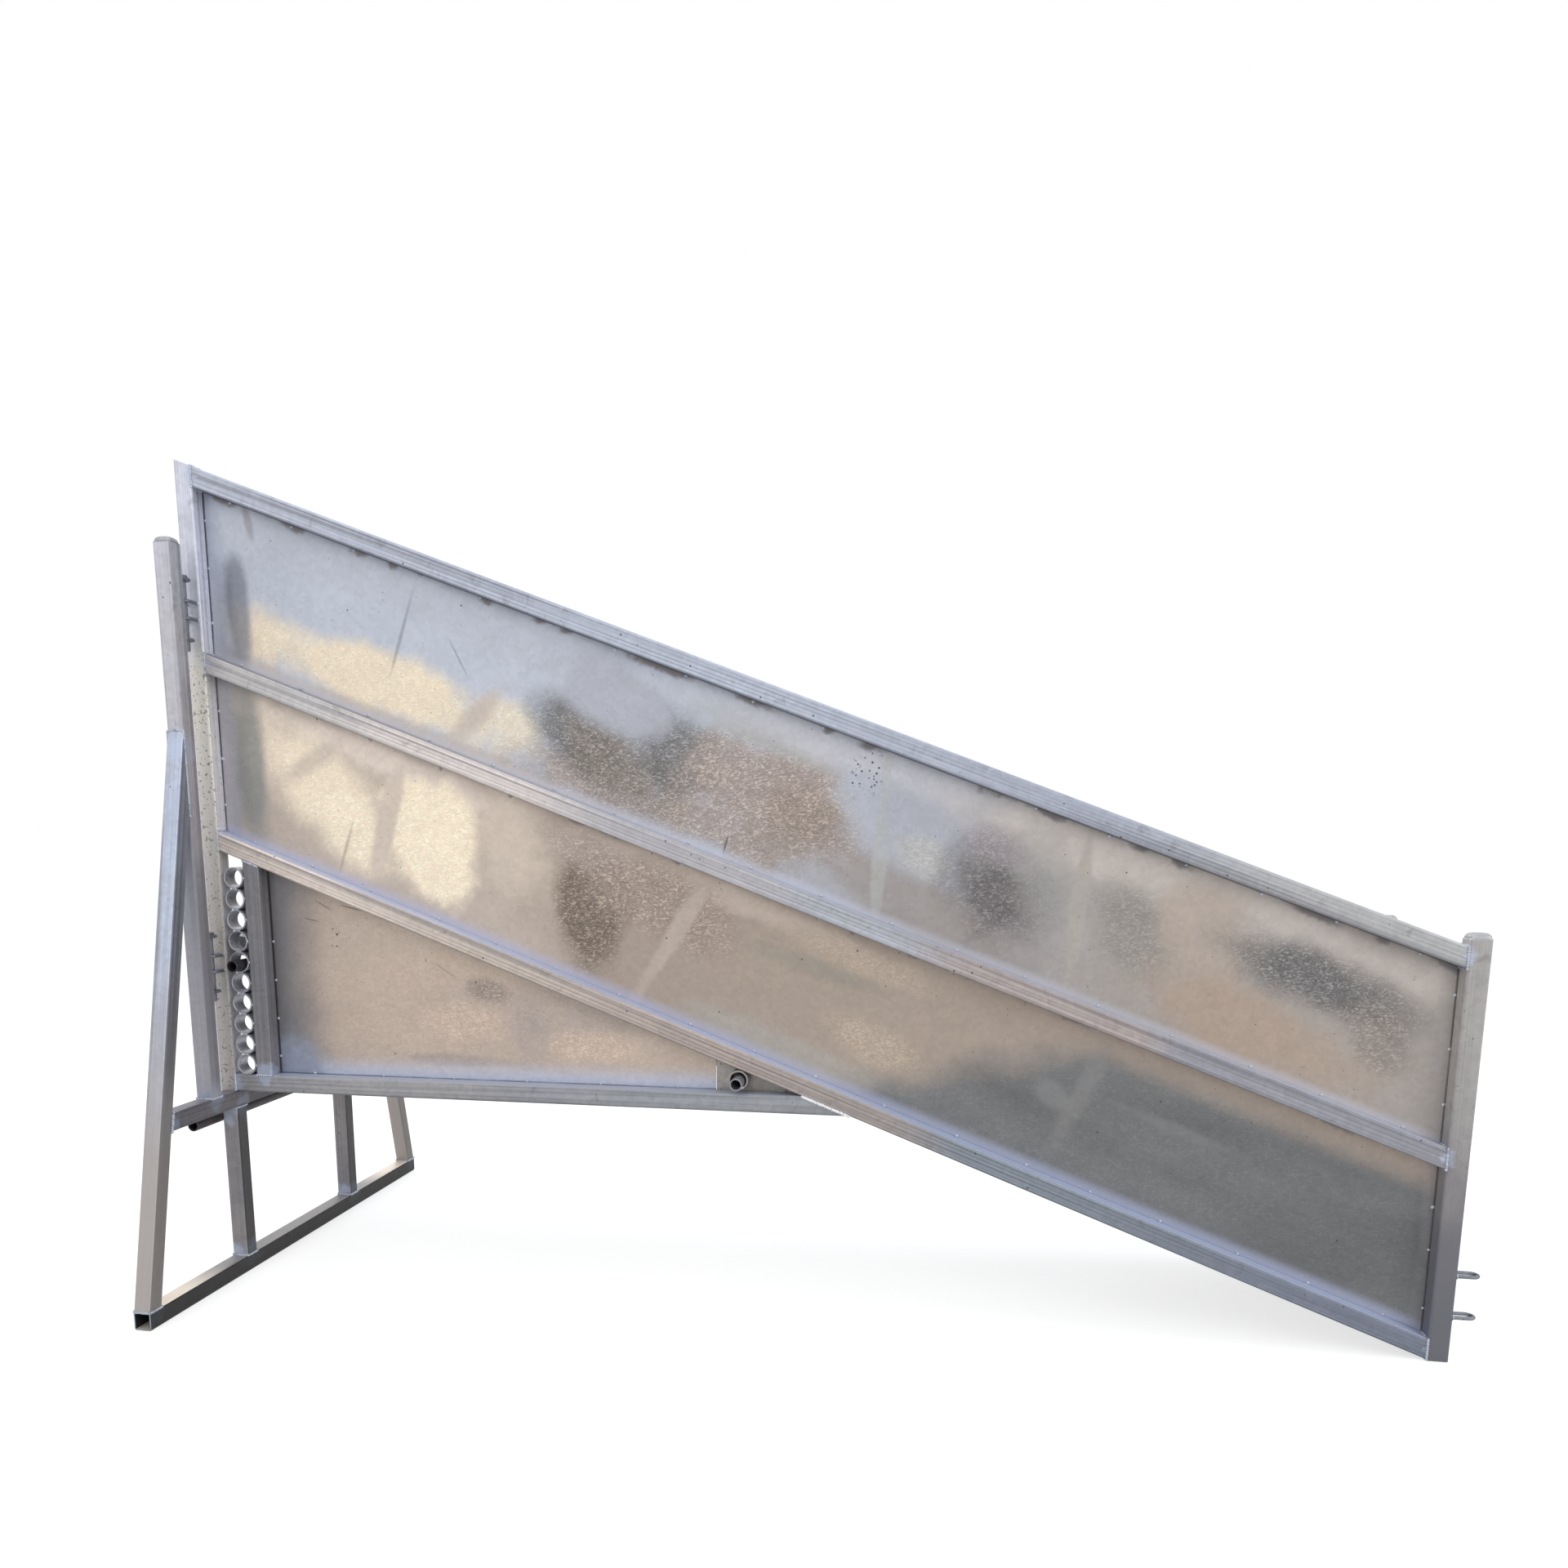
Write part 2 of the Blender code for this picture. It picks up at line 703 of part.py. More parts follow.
# Stand: sill, legs, cross tube, posts and outriggers
stand_d = TUBE / 2
post_in = HALF + POST_GAP
post_y = post_in + TUBE / 2
post_face = post_in + TUBE + FIT
sill_half = SILL_LENGTH / 2
lean_run = sill_half - post_face
lean_rise = OUTRIGGER_TOP - TUBE
lean = lean_run / lean_rise
leg_width = TUBE * math.hypot(lean_run, lean_rise) / lean_rise
cross_mid = CROSS_TOP - TUBE / 2


def outrigger_y(z, inward):
    """Half width out to the outrigger's outer face at height z, less a distance inward."""
    return sill_half - (z - TUBE) * lean - inward


square_tube(
    "sill",
    at(stand_d, -sill_half, TUBE / 2),
    at(stand_d, sill_half, TUBE / 2),
    Z_AXIS,
    STAND_LOOK,
)
cross_end = outrigger_y(cross_mid, leg_width) - FIT
square_tube(
    "cross_tube",
    at(stand_d, -cross_end, cross_mid),
    at(stand_d, cross_end, cross_mid),
    Z_AXIS,
    STAND_LOOK,
    (
        Vector((0, -lean_rise, lean_run)).normalized(),
        Vector((0, lean_rise, lean_run)).normalized(),
    ),
)
tie_d = -FIT - BAR_OD / 2
pipe(
    "tie_pipe",
    at(tie_d, -TIE_LENGTH / 2, CROSS_TOP - TIE_DROP),
    at(tie_d, TIE_LENGTH / 2, CROSS_TOP - TIE_DROP),
    BAR_OD,
    BAR_WALL,
    BAR_LOOK,
)

for side, sign in SIDES:
    out = Y_AXIS * sign
    square_tube(
        "inner_leg_" + side,
        at(stand_d, sign * TUBE_Y, TUBE + FIT),
        at(stand_d, sign * TUBE_Y, CROSS_TOP - TUBE - FIT),
        X_AXIS,
        STAND_LOOK,
    )
    square_tube(
        "post_" + side,
        at(stand_d, sign * post_y, CROSS_TOP + FIT),
        at(stand_d, sign * post_y, POST_TOP),
        X_AXIS,
        STAND_LOOK,
        cap="dome",
    )
    foot_z = TUBE + FIT
    head_z = TUBE + (sill_half - leg_width / 2 - post_face) / lean
    square_tube(
        "outrigger_" + side,
        at(stand_d, sign * outrigger_y(foot_z, leg_width / 2), foot_z),
        at(stand_d, sign * post_face, head_z),
        X_AXIS,
        STAND_LOOK,
        (-Z_AXIS, -out),
    )

    # Loops that join the chute to the stand, each set with its pin, from the top down
    reach = POST_GAP / 2 + EYE / 2 + ROD
    chute_count = 0
    post_count = 0
    for level, height in (("upper", UPPER_SET), ("lower", LOWER_SET)):
        for step in (CHUTE_LOOP_STEP, -CHUTE_LOOP_STEP):
            chute_count += 1
            foot = at(stand_d, sign * HALF, height + step)
            rod_loop(f"chute_loop_{side}_{chute_count}", foot, out, reach)
        for step in (POST_LOOP_STEP, -POST_LOOP_STEP):
            post_count += 1
            foot = at(stand_d, sign * post_in, height + step)
            rod_loop(f"post_loop_{side}_{post_count}", foot, -out, reach)
        eye_line = at(stand_d, sign * (HALF + POST_GAP / 2), 0)
        drop_pin(f"drop_pin_{side}_{level}", eye_line, height)
    for index, height in enumerate(ENTRY_LOOP_HEIGHTS):
        foot = at(LENGTH, sign * TUBE_Y, height)
        rod_loop(f"entry_loop_{side}_{index + 1}", foot, X_AXIS, ENTRY_LOOP_OUT)
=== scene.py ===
"""Looks of the sheep loading ramp: galvanised tube and sheet, welds, rings, rods and a studio."""

import math
import random

import bmesh
import bpy
from mathutils import Matrix, Vector


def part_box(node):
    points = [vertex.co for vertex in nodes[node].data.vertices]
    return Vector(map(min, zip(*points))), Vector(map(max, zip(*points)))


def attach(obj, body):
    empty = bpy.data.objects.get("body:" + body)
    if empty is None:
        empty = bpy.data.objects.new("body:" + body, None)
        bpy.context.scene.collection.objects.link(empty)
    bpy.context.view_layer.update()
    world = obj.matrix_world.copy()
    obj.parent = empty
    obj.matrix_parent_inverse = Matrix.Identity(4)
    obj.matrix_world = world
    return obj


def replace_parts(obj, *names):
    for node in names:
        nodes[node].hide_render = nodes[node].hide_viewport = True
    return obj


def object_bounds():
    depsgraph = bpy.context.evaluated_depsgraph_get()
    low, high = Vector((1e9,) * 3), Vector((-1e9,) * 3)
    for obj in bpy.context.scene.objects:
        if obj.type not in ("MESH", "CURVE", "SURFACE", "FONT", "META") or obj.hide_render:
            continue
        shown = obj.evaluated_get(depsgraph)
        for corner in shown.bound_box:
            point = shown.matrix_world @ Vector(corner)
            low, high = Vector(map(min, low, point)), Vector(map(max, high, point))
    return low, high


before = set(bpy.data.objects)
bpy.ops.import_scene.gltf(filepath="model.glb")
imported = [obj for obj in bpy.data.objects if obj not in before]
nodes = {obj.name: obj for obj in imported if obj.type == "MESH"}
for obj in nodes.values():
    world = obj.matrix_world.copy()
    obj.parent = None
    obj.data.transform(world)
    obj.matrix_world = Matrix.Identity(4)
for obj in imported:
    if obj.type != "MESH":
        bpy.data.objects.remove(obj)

cad_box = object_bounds()
SEED = 7
dice = random.Random(SEED)

X_AXIS = Vector((1, 0, 0))
Y_AXIS = Vector((0, 1, 0))
Z_AXIS = Vector((0, 0, 1))
SIDES = (("near", -1), ("far", 1))
SHARP = math.radians(35)
TOUCH = 0.0005
BUMP_STRENGTH = 0.6
TUBE_ROUGHNESS = 0.42
TUBE_METAL = 0.45


def add_item(name, data):
    """Put a camera, lamp or mesh into the scene."""
    item = bpy.data.objects.new(name, data)
    bpy.context.scene.collection.objects.link(item)
    return item


def add_node(tree, kind, inputs=(), **settings):
    """Add a shader node, set its properties, and set or link its inputs by name or place."""
    made = tree.nodes.new("ShaderNode" + kind)
    for key, value in settings.items():
        setattr(made, key, value)
    for key, value in dict(inputs).items():
        socket = made.inputs[key]
        if isinstance(value, bpy.types.NodeSocket):
            tree.links.new(value, socket)
        else:
            socket.default_value = value
    return made


# Camera, as a fit of the photograph's straight edges gave it
IMAGE = 1920
SENSOR = 36
CAMERA_AT = Vector((0.3520, -2.7760, 1.0357))
CAMERA_YAW = 0.2096
CAMERA_PITCH = -0.1747
CAMERA_ROLL = -0.0055
FOCAL_PIXELS = 1479.75
CENTRE_PIXEL = Vector((859.6, 1283.4))
FAR_CLIP = 200

camera_data = bpy.data.cameras.new("camera")
camera_data.sensor_width = SENSOR
camera_data.lens = FOCAL_PIXELS / IMAGE * SENSOR
camera_data.shift_x = 0.5 - CENTRE_PIXEL.x / IMAGE
camera_data.shift_y = CENTRE_PIXEL.y / IMAGE - 0.5
camera_data.clip_end = FAR_CLIP
camera = add_item("camera", camera_data)
camera.matrix_world = (
    Matrix.Translation(CAMERA_AT)
    @ Matrix.Rotation(CAMERA_YAW, 4, "Z")
    @ Matrix.Rotation(math.pi / 2 + CAMERA_PITCH, 4, "X")
    @ Matrix.Rotation(CAMERA_ROLL, 4, "Z")
)
bpy.context.scene.camera = camera
bpy.context.scene.view_settings.view_transform = "Standard"


# Places read from the frame
def end_point(node, right, top):
    """Where a tube's upper or lower line meets its left or right end, on the middle plane."""
    low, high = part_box(node)
    x = high.x if right else low.x
    heights = [v.co.z for v in nodes[node].data.vertices if abs(v.co.x - x) < TOUCH]
    return Vector((x, 0, max(heights) if top else min(heights)))


def extent(node):
    """Both corners of a node's box, and its middle."""
    low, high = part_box(node)
    return low, high, (low + high) / 2


rail_start = end_point("top_rail_near", False, True)
rail_end = end_point("top_rail_near", True, True)
SLOPE = math.atan2(rail_start.z - rail_end.z, rail_end.x - rail_start.x)
DOWNHILL = Vector((math.cos(SLOPE), 0, -math.sin(SLOPE)))
SLOPE_UP = Vector((math.sin(SLOPE), 0, math.cos(SLOPE)))
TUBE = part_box("top_rail_near")[1].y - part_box("top_rail_near")[0].y
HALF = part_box("top_rail_far")[1].y
SHEET_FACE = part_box("side_sheet_far")[1].y


class Finish:
    """A procedural material in the making. Its places are metres on the part at rest."""

    def __init__(self, name, base, roughness, metallic):
        self.material = bpy.data.materials.new(name)
        self.material.use_nodes = True
        self.tree = self.material.node_tree
        self.shader = self.tree.nodes["Principled BSDF"]
        self.shader.inputs["Metallic"].default_value = metallic
        place = self.node("TexCoord")
        self.point = place.outputs["Object"]
        self.facing = place.outputs["Normal"]
        self.colour = self.plain(base)
        self.rough = self.value(roughness)
        self.height = None

    def node(self, kind, inputs=(), **settings):
        return add_node(self.tree, kind, inputs, **settings)

    def plain(self, colour):
        made = self.node("RGB")
        made.outputs[0].default_value = (*colour, 1)
        return made.outputs[0]

    def value(self, number):
        made = self.node("Value")
        made.outputs[0].default_value = number
        return made.outputs[0]

    def maths(self, operation, first, second=0.0):
        return self.node("Math", {0: first, 1: second}, operation=operation).outputs[0]

    def plus(self, first, second):
        return self.maths("ADD", first, second)

    def minus(self, first, second):
        return self.maths("SUBTRACT", first, second)

    def times(self, first, second):
        return self.maths("MULTIPLY", first, second)

    def vector(self, operation, first, second=None):
        """Vector arithmetic. Lengths, distances and dot products come out as numbers."""
        inputs = {0: first} if second is None else {0: first, 1: second}
        made = self.node("VectorMath", inputs, operation=operation)
        number = operation in ("LENGTH", "DISTANCE", "DOT_PRODUCT")
        return made.outputs[1 if number else 0]

    def joined(self, *parts):
        """A vector from its components."""
        return self.node("CombineXYZ", dict(enumerate(parts))).outputs[0]

    def ease(self, value, low, high, start=0.0, end=1.0):
        """Smooth change from start to end while a value goes from low to high."""
        inputs = {"Value": value, 1: low, 2: high, 3: start, 4: end}
        return self.node("MapRange", inputs, interpolation_type="SMOOTHSTEP").outputs[0]

    def part(self, vector, axis):
        """One component of a vector, 0 to 2."""
        return self.node("SeparateXYZ", {0: vector}).outputs[axis]

    def at(self, axis):
        """Where the surface is along X, Y or Z."""
        return self.part(self.point, axis)

    def faces(self, axis):
        """How much the surface faces along X, Y or Z, from -1 to 1."""
        return self.part(self.facing, axis)

    def stretched(self, scale, along, up=Z_AXIS):
        """Places scaled by three numbers: along a direction, across it, and square to both."""
        across = up.cross(along)
        turn = Matrix((along, across.normalized(), along.cross(across).normalized()))
        inputs = {"Vector": self.point, "Rotation": turn.to_euler()}
        turned = self.node("Mapping", inputs).outputs[0]
        return self.vector("MULTIPLY", turned, scale)

    def noise(self, scale, detail=3.0, place=None, lift=0.0, warp=0.0):
        """Soft noise from 0 to 1. Lift moves it to another part of the pattern."""
        if place is None:
            place = self.point
        moved = self.vector("ADD", place, (lift, lift, lift))
        inputs = {"Vector": moved, "Scale": scale, "Detail": detail, "Distortion": warp}
        return self.node("TexNoise", inputs).outputs[0]

    def cells(self, scale, channel=0):
        """A random value for each cell, from one channel of the cell's colour."""
        made = self.node("TexVoronoi", {"Vector": self.point, "Scale": scale})
        return self.part(made.outputs["Color"], channel)

    def blend(self, amount, first, second):
        """The colour between two others."""
        inputs = {0: amount, 6: (*first, 1), 7: (*second, 1)}
        return self.node("Mix", inputs, data_type="RGBA").outputs[2]

    def tint(self, amount, colour, blend="MIX"):
        """Lay a colour over the surface where amount is above nothing."""
        second = self.plain(colour) if isinstance(colour, tuple) else colour
        inputs = {0: amount, 6: self.colour, 7: second}
        self.colour = self.node("Mix", inputs, data_type="RGBA", blend_type=blend).outputs[2]

    def brighten(self, amount, low, high):
        """Multiply the colour by a factor from low to high as amount goes from 0 to 1."""
        factor = self.node("MapRange", {"Value": amount, 3: low, 4: high}).outputs[0]
        grey = self.node("CombineColor", {0: factor, 1: factor, 2: factor}).outputs[0]
        self.tint(1.0, grey, "MULTIPLY")

    def mottle(self, scale, detail, low, high, lift=0.0):
        """Brighten by soft noise."""
        self.brighten(self.noise(scale, detail, lift=lift), low, high)

    def turn(self, low, high, colour):
        """Change to another colour between two places along the ramp."""
        self.tint(self.ease(self.at(0), low, high), colour)

    def roughen(self, amount, change):
        self.rough = self.plus(self.rough, self.times(amount, change))

    def relief(self, amount, depth):
        """Add to the bump, with a depth in metres."""
        raised = self.times(amount, depth)
        self.height = raised if self.height is None else self.plus(self.height, raised)

    def near(self, centre, reach, ragged):
        """1 at a place, falling to 0 at a ragged distance, and the same on the far side."""
        place = self.joined(self.at(0), self.maths("ABSOLUTE", self.at(1)), self.at(2))
        shake = self.node("TexNoise", {"Vector": self.point, "Scale": 40.0}).outputs[1]
        centred = self.vector("SUBTRACT", shake, (0.5, 0.5, 0.5))
        moved = self.vector("MULTIPLY", centred, (ragged, ragged, ragged))
        distance = self.vector("DISTANCE", self.vector("ADD", place, moved), centre)
        return self.ease(distance, reach * 0.45, reach, 1.0, 0.0)

    def outside(self):
        """1 on faces turned away from the ramp's middle."""
        turned = self.times(self.faces(1), self.at(1))
        return self.ease(turned, -0.05, 0.05)

    def lay_out(self, run, rise):
        """Set the flat place that clouds use, and the raggedness that they share."""
        self.panel = self.joined(run, rise)
        wide = self.ease(self.noise(5.0, 2.0), 0.25, 0.75, -0.3, 0.3)
        fine = self.ease(self.noise(26.0, 3.0, lift=3.0), 0.25, 0.75, -0.07, 0.07)
        self.ragged = self.plus(wide, fine)
        slant = {"Vector": self.point, "Rotation": (0.0, 0.6, 0.0), "Scale": (1, 1, 2.2)}
        self.grain = self.noise(72.0, 2.0, self.node("Mapping", slant).outputs[0], warp=2.4)

    def frosted(self, colour, share):
        """A colour broken by crescents of bright zinc crystals, with darker gaps between them."""
        made = self.node("ValToRGB", {0: self.grain})
        stops = made.color_ramp.elements
        stops[0].position = 0.36
        stops[1].position = 0.62
        stops.new(0.5)
        stops.new(0.54)
        factors = (1 - 0.3 * share, 1.0, 1.0, 1 + 1.1 * share)
        for stop, factor in zip(stops, factors):
            stop.color = (*(min(part * factor, 1.0) for part in colour), 1)
        return made.outputs[0]

    def cloud(self, run, rise, long, high, colour, strength=0.8, lean=0.0, soft=0.5, frost=0.0):
        """Soft-edged cloud on a sheet, with its half width and half height in metres."""
        # Dot products keep to one kind of value. A change of kind would hold every cloud in memory.
        moved = self.vector("ADD", self.panel, (-run, -rise, 0))
        widthways = (math.cos(lean) / long, math.sin(lean) / long, 0)
        upward = (-math.sin(lean) / high, math.cos(lean) / high, 0)
        across = self.vector("DOT_PRODUCT", moved, widthways)
        height = self.vector("DOT_PRODUCT", moved, upward)
        reach = self.vector("LENGTH", self.joined(across, height))
        amount = self.ease(self.plus(reach, self.ragged), 1 - soft, 1 + soft, strength, 0.0)
        self.tint(amount, self.frosted(colour, frost) if frost else colour)

    def specks(self, scale, size, share, colour, within=None, lift=0.0):
        """Small round spots, in a share of the cells of a grid this fine."""
        moved = self.vector("ADD", self.point, (lift, lift, lift))
        cell = self.node("TexVoronoi", {"Vector": moved, "Scale": scale})
        spot = self.ease(cell.outputs["Distance"], size * 0.5, size, 1.0, 0.0)
        chosen = self.ease(self.part(cell.outputs["Color"], 0), 1 - share, 1 - share + 0.02)
        shown = self.times(spot, chosen)
        if within is not None:
            shown = self.times(shown, within)
        self.tint(shown, colour)

    def done(self):
        """Join what was made to the shader."""
        bump = {"Height": self.height, "Distance": 1.0, "Strength": BUMP_STRENGTH}
        links = self.tree.links
        links.new(self.colour, self.shader.inputs["Base Color"])
        links.new(self.rough, self.shader.inputs["Roughness"])
        links.new(self.node("Bump", bump).outputs[0], self.shader.inputs["Normal"])
        return self.material


# Base colours, in linear light
TUBE_WARM = (0.44, 0.385, 0.36)
# Pale tint for the tubes' upper faces, partly dust and partly painted sky light
TUBE_TOP = (0.56, 0.61, 0.73)
UPRIGHT_TONE = (0.6, 0.61, 0.7)
ENTRY_TONE = (0.36, 0.345, 0.335)
ENTRY_LOW = (0.145, 0.145, 0.165)
STAND_TONE = (0.52, 0.52, 0.575)
LEAN_TONE = (0.48, 0.53, 0.65)
# The legs' dark tone is painted shade: they stand in shade below the ramp
LEG_SHADE_TONE = (0.22, 0.21, 0.225)
CROSS_TONE = (0.2, 0.195, 0.23)
WEDGE_TONE = (0.3, 0.31, 0.335)
POST_TONE = (0.215, 0.215, 0.235)
ZINC_SPRAY = (0.5, 0.57, 0.74)
PALE_ZINC = (0.57, 0.61, 0.7)
CREAM = (0.93, 0.79, 0.615)
SAND = (0.62, 0.525, 0.455)
TAN = (0.46, 0.375, 0.315)
ORANGE = (0.49, 0.375, 0.295)
BROWN = (0.4, 0.33, 0.29)
ROSE_BROWN = (0.415, 0.345, 0.31)
UMBER = (0.185, 0.145, 0.115)
UMBER_GREY = (0.245, 0.215, 0.19)
OLIVE = (0.15, 0.152, 0.155)
GREEN_GREY = (0.4, 0.4, 0.37)
WARM_GREY = (0.44, 0.395, 0.365)
LILAC = (0.48, 0.49, 0.56)
SLATE = (0.22, 0.235, 0.29)
CLOUD_DARK = (0.17, 0.165, 0.165)
HEAT = (0.2, 0.18, 0.185)
# Dark line under the post caps, and painted shade in the crevices where the sheets meet rails and
# uprights
DARK_JOINT_AND_SHADE = (0.035, 0.03, 0.035)
DIRT = (0.1, 0.085, 0.07)
PIT = (0.06, 0.055, 0.06)
SCRATCH = (0.16, 0.13, 0.11)
LINE = (0.15, 0.145, 0.17)
SOOT = (0.16, 0.15, 0.17)
RUST = (0.15, 0.085, 0.05)
RING_TONE = (0.44, 0.45, 0.49)
BAR_TONE = (0.06, 0.055, 0.06)
ROD_TONE = (0.21, 0.22, 0.25)
FLOOR_TONE = (0.33, 0.34, 0.36)
WELD_TONE = (0.47, 0.5, 0.57)

# Zinc paint was sprayed over the welds. These are the joints, for both sides of the ramp at once.
sill_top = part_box("sill")[1].z
leg_y = (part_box("inner_leg_far")[0].y + HALF) / 2
post_y = extent("post_far")[2].y
stand_x = extent("sill")[2].x
cross_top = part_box("cross_tube")[1].z
lean_foot = Vector((stand_x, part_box("outrigger_far")[1].y - TUBE / 2, sill_top))
lean_head = Vector((stand_x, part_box("post_far")[1].y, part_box("outrigger_far")[1].z - TUBE))
leg_foot = Vector((stand_x, leg_y, sill_top))
leg_head = Vector((stand_x, leg_y, cross_top - TUBE))
post_foot = Vector((stand_x, post_y, cross_top))
cross_end = Vector((stand_x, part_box("cross_tube")[1].y, cross_top - TUBE / 2))
stand_joints = (leg_foot, leg_head, post_foot, lean_foot, lean_head, cross_end)


def rail_ends(rail):
    """Middle of the outer face at both ends of a sloping or level tube."""
    found = []
    for right in (False, True):
        middle = (end_point(rail, right, True) + end_point(rail, right, False)) / 2
        middle.y = HALF
        found.append(middle)
    return found


chute_joints = []
for rail in ("top_rail_near", "mid_rail_near", "floor_rail_near"):
    chute_joints.extend(rail_ends(rail))
chute_joints.append(rail_ends("wedge_rail_near")[0])
low, high, middle = extent("wedge_post_near")
chute_joints.append(Vector((middle.x, HALF, low.z)))


def tube_surface(made, along, joints, streaks, spray, warm=0.3):
    """Galvanised square tube: lines along it, dust, spots and sprayed joints."""
    side = Z_AXIS if abs(along.z) < 0.8 else X_AXIS
    drift = made.ease(made.noise(2.2, 3.0), 0.4, 0.62)
    made.tint(made.times(drift, warm), TUBE_WARM)
    made.mottle(14.0, 5.0, 0.88, 1.12)
    # Drawing lines: a band of soft ones and a few sharp ones
    fine = made.noise(1.0, 2.0, made.stretched((1.2, 230, 230), along, side))
    made.brighten(made.ease(fine, 0.35, 0.65), 1 - 0.13 * streaks, 1 + 0.11 * streaks)
    lines = made.noise(1.0, 1.0, made.stretched((0.5, 120, 120), along, side), 3.1)
    made.tint(made.times(made.ease(lines, 0.6, 0.65), 0.5 * streaks), LINE)
    # Spangle, rubbed spots and pits
    made.brighten(made.cells(95.0), 0.94, 1.06)
    rubbed = made.ease(made.noise(38.0, 4.0, warp=0.6), 0.6, 0.74)
    made.tint(made.times(rubbed, 0.25), DIRT)
    made.specks(55.0, 0.14, 0.14, PIT)
    for joint in joints:
        made.tint(made.times(made.near(joint, spray, 0.05), 0.6), ZINC_SPRAY)
    made.roughen(made.noise(60.0, 4.0), 0.16)
    made.relief(fine, 0.00012 * streaks)
    made.relief(made.noise(90.0, 3.0), 0.00018)
    return made


def tube_finish(name, tone, *surface):
    """A tube's finish, from its tone and what its surface needs."""
    return tube_surface(Finish(name, tone, TUBE_ROUGHNESS, TUBE_METAL), *surface)


def turned_shade(made, shaded, top=TUBE_TOP, top_share=0.8, back=1.0):
    """Painted light by facing: upper faces take a pale sky tint, partly dust and partly painted sky
    light; under faces get painted shade; faces along X get painted light or shade of their own.
    """
    up = made.ease(made.faces(2), 0.45, 0.85)
    made.tint(made.times(up, top_share), top)
    made.brighten(made.ease(made.faces(2), -0.15, -0.75), 1.0, 0.45)
    made.brighten(made.ease(made.faces(0), 0.5, 0.9), 1.0, shaded)
    made.brighten(made.ease(made.faces(0), -0.5, -0.9), 1.0, back)
    return made.done()


def paint(material, *names):
    for name in names:
        item = bpy.data.objects[name]
        item.data.materials.clear()
        item.data.materials.append(material)


def both(name):
    return [name + "_" + side for side, sign in SIDES]


GROOVE_PITCH = 0.0082


def rail_surface(made, depth):
    """A sloping rail, with drawn lines at even heights that fade in and out along it."""
    tube_surface(made, DOWNHILL, chute_joints, 0.9, 0.012, 0.0)
    over = made.plus(made.at(2), made.times(made.at(0), math.tan(SLOPE)))
    wave = made.maths("SINE", made.times(over, 2 * math.pi / GROOVE_PITCH))
    patches = made.noise(1.0, 2.0, made.stretched((2.5, 90, 90), DOWNHILL))
    fade = made.ease(patches, 0.35, 0.6, 0.15, 1.0)
    made.brighten(made.times(made.ease(wave, 0.55, 0.97), fade), 1.0, 1 - depth)
    made.brighten(made.times(made.ease(wave, -0.55, -0.97), fade), 1.0, 1 + 0.5 * depth)


rail = Finish("top_rail_steel", (0.45, 0.48, 0.56), TUBE_ROUGHNESS, TUBE_METAL)
rail.turn(-1.1, -0.6, (0.41, 0.44, 0.52))
rail.turn(0.6, 1.0, (0.44, 0.44, 0.45))
rail_surface(rail, 0.24)
paint(turned_shade(rail, 1.0, (0.5, 0.53, 0.61)), *both("top_rail"))

rail = Finish("mid_rail_steel", (0.56, 0.54, 0.54), TUBE_ROUGHNESS, TUBE_METAL)
rail.turn(-1.1, -0.8, (0.68, 0.62, 0.6))
rail.turn(-0.6, -0.35, (0.47, 0.455, 0.48))
rail.turn(-0.1, 0.1, (0.43, 0.445, 0.49))
rail.turn(0.2, 0.4, (0.41, 0.355, 0.345))
rail.turn(0.7, 0.8, (0.31, 0.31, 0.35))
rail_surface(rail, 0.28)
# Painted shade towards the left end of the mid rail's upper faces, turning to the painted sky tint
# further along
upper = rail.blend(rail.ease(rail.at(0), -0.95, -0.25), (0.27, 0.285, 0.34), TUBE_TOP)
paint(turned_shade(rail, 1.0, upper, 0.85), *both("mid_rail"))

rail = Finish("floor_rail_steel", (0.7, 0.61, 0.55), TUBE_ROUGHNESS, TUBE_METAL)
rail.turn(-1.1, -0.7, (0.53, 0.46, 0.41))
rail.turn(-0.6, -0.2, (0.43, 0.36, 0.33))
rail.turn(-0.2, 0.15, (0.34, 0.3, 0.285))
rail.turn(0.2, 0.4, (0.235, 0.265, 0.31))
rail.turn(0.5, 1.2, (0.185, 0.205, 0.26))
rail_surface(rail, 0.28)
# Painted sky light: the floor rail's upper faces take a strong pale blue
paint(turned_shade(rail, 1.0, (0.62, 0.7, 0.92), 0.85), *both("floor_rail"))

wedge_rail = tube_finish("wedge_rail_steel", WEDGE_TONE, X_AXIS, chute_joints, 1.2, 0.03)
paint(turned_shade(wedge_rail, 0.75), *both("wedge_rail"))
wedge_post = tube_finish("wedge_post_steel", POST_TONE, Z_AXIS, chute_joints, 1.0, 0.04)
paint(turned_shade(wedge_post, 1.15), *both("wedge_post"))

truck = tube_finish("truck_upright_steel", UPRIGHT_TONE, Z_AXIS, chute_joints, 0.8, 0.02)
# Outer faces below about 1.4 m take a beige tone, partly mud and partly a painted reflection of the
# sunlit ground, paler higher up, with dark mud splashes
mud_and_ground_reflection = truck.times(truck.ease(truck.at(2), 1.5, 1.38), truck.outside())
higher = truck.ease(truck.at(2), 0.75, 1.35)
mud_and_reflection_tone = truck.blend(higher, (0.46, 0.43, 0.4), (0.78, 0.74, 0.66))
truck.tint(truck.times(mud_and_ground_reflection, 0.85), mud_and_reflection_tone)
for scale, low, lift in ((75.0, 0.62, 0.0), (170.0, 0.6, 4.0)):
    spots = truck.noise(scale, 3.0, lift=lift, warp=0.5)
    splash = truck.ease(spots, low, low + 0.07, 0.0, 0.75)
    truck.tint(truck.times(splash, mud_and_ground_reflection), (0.15, 0.135, 0.12))
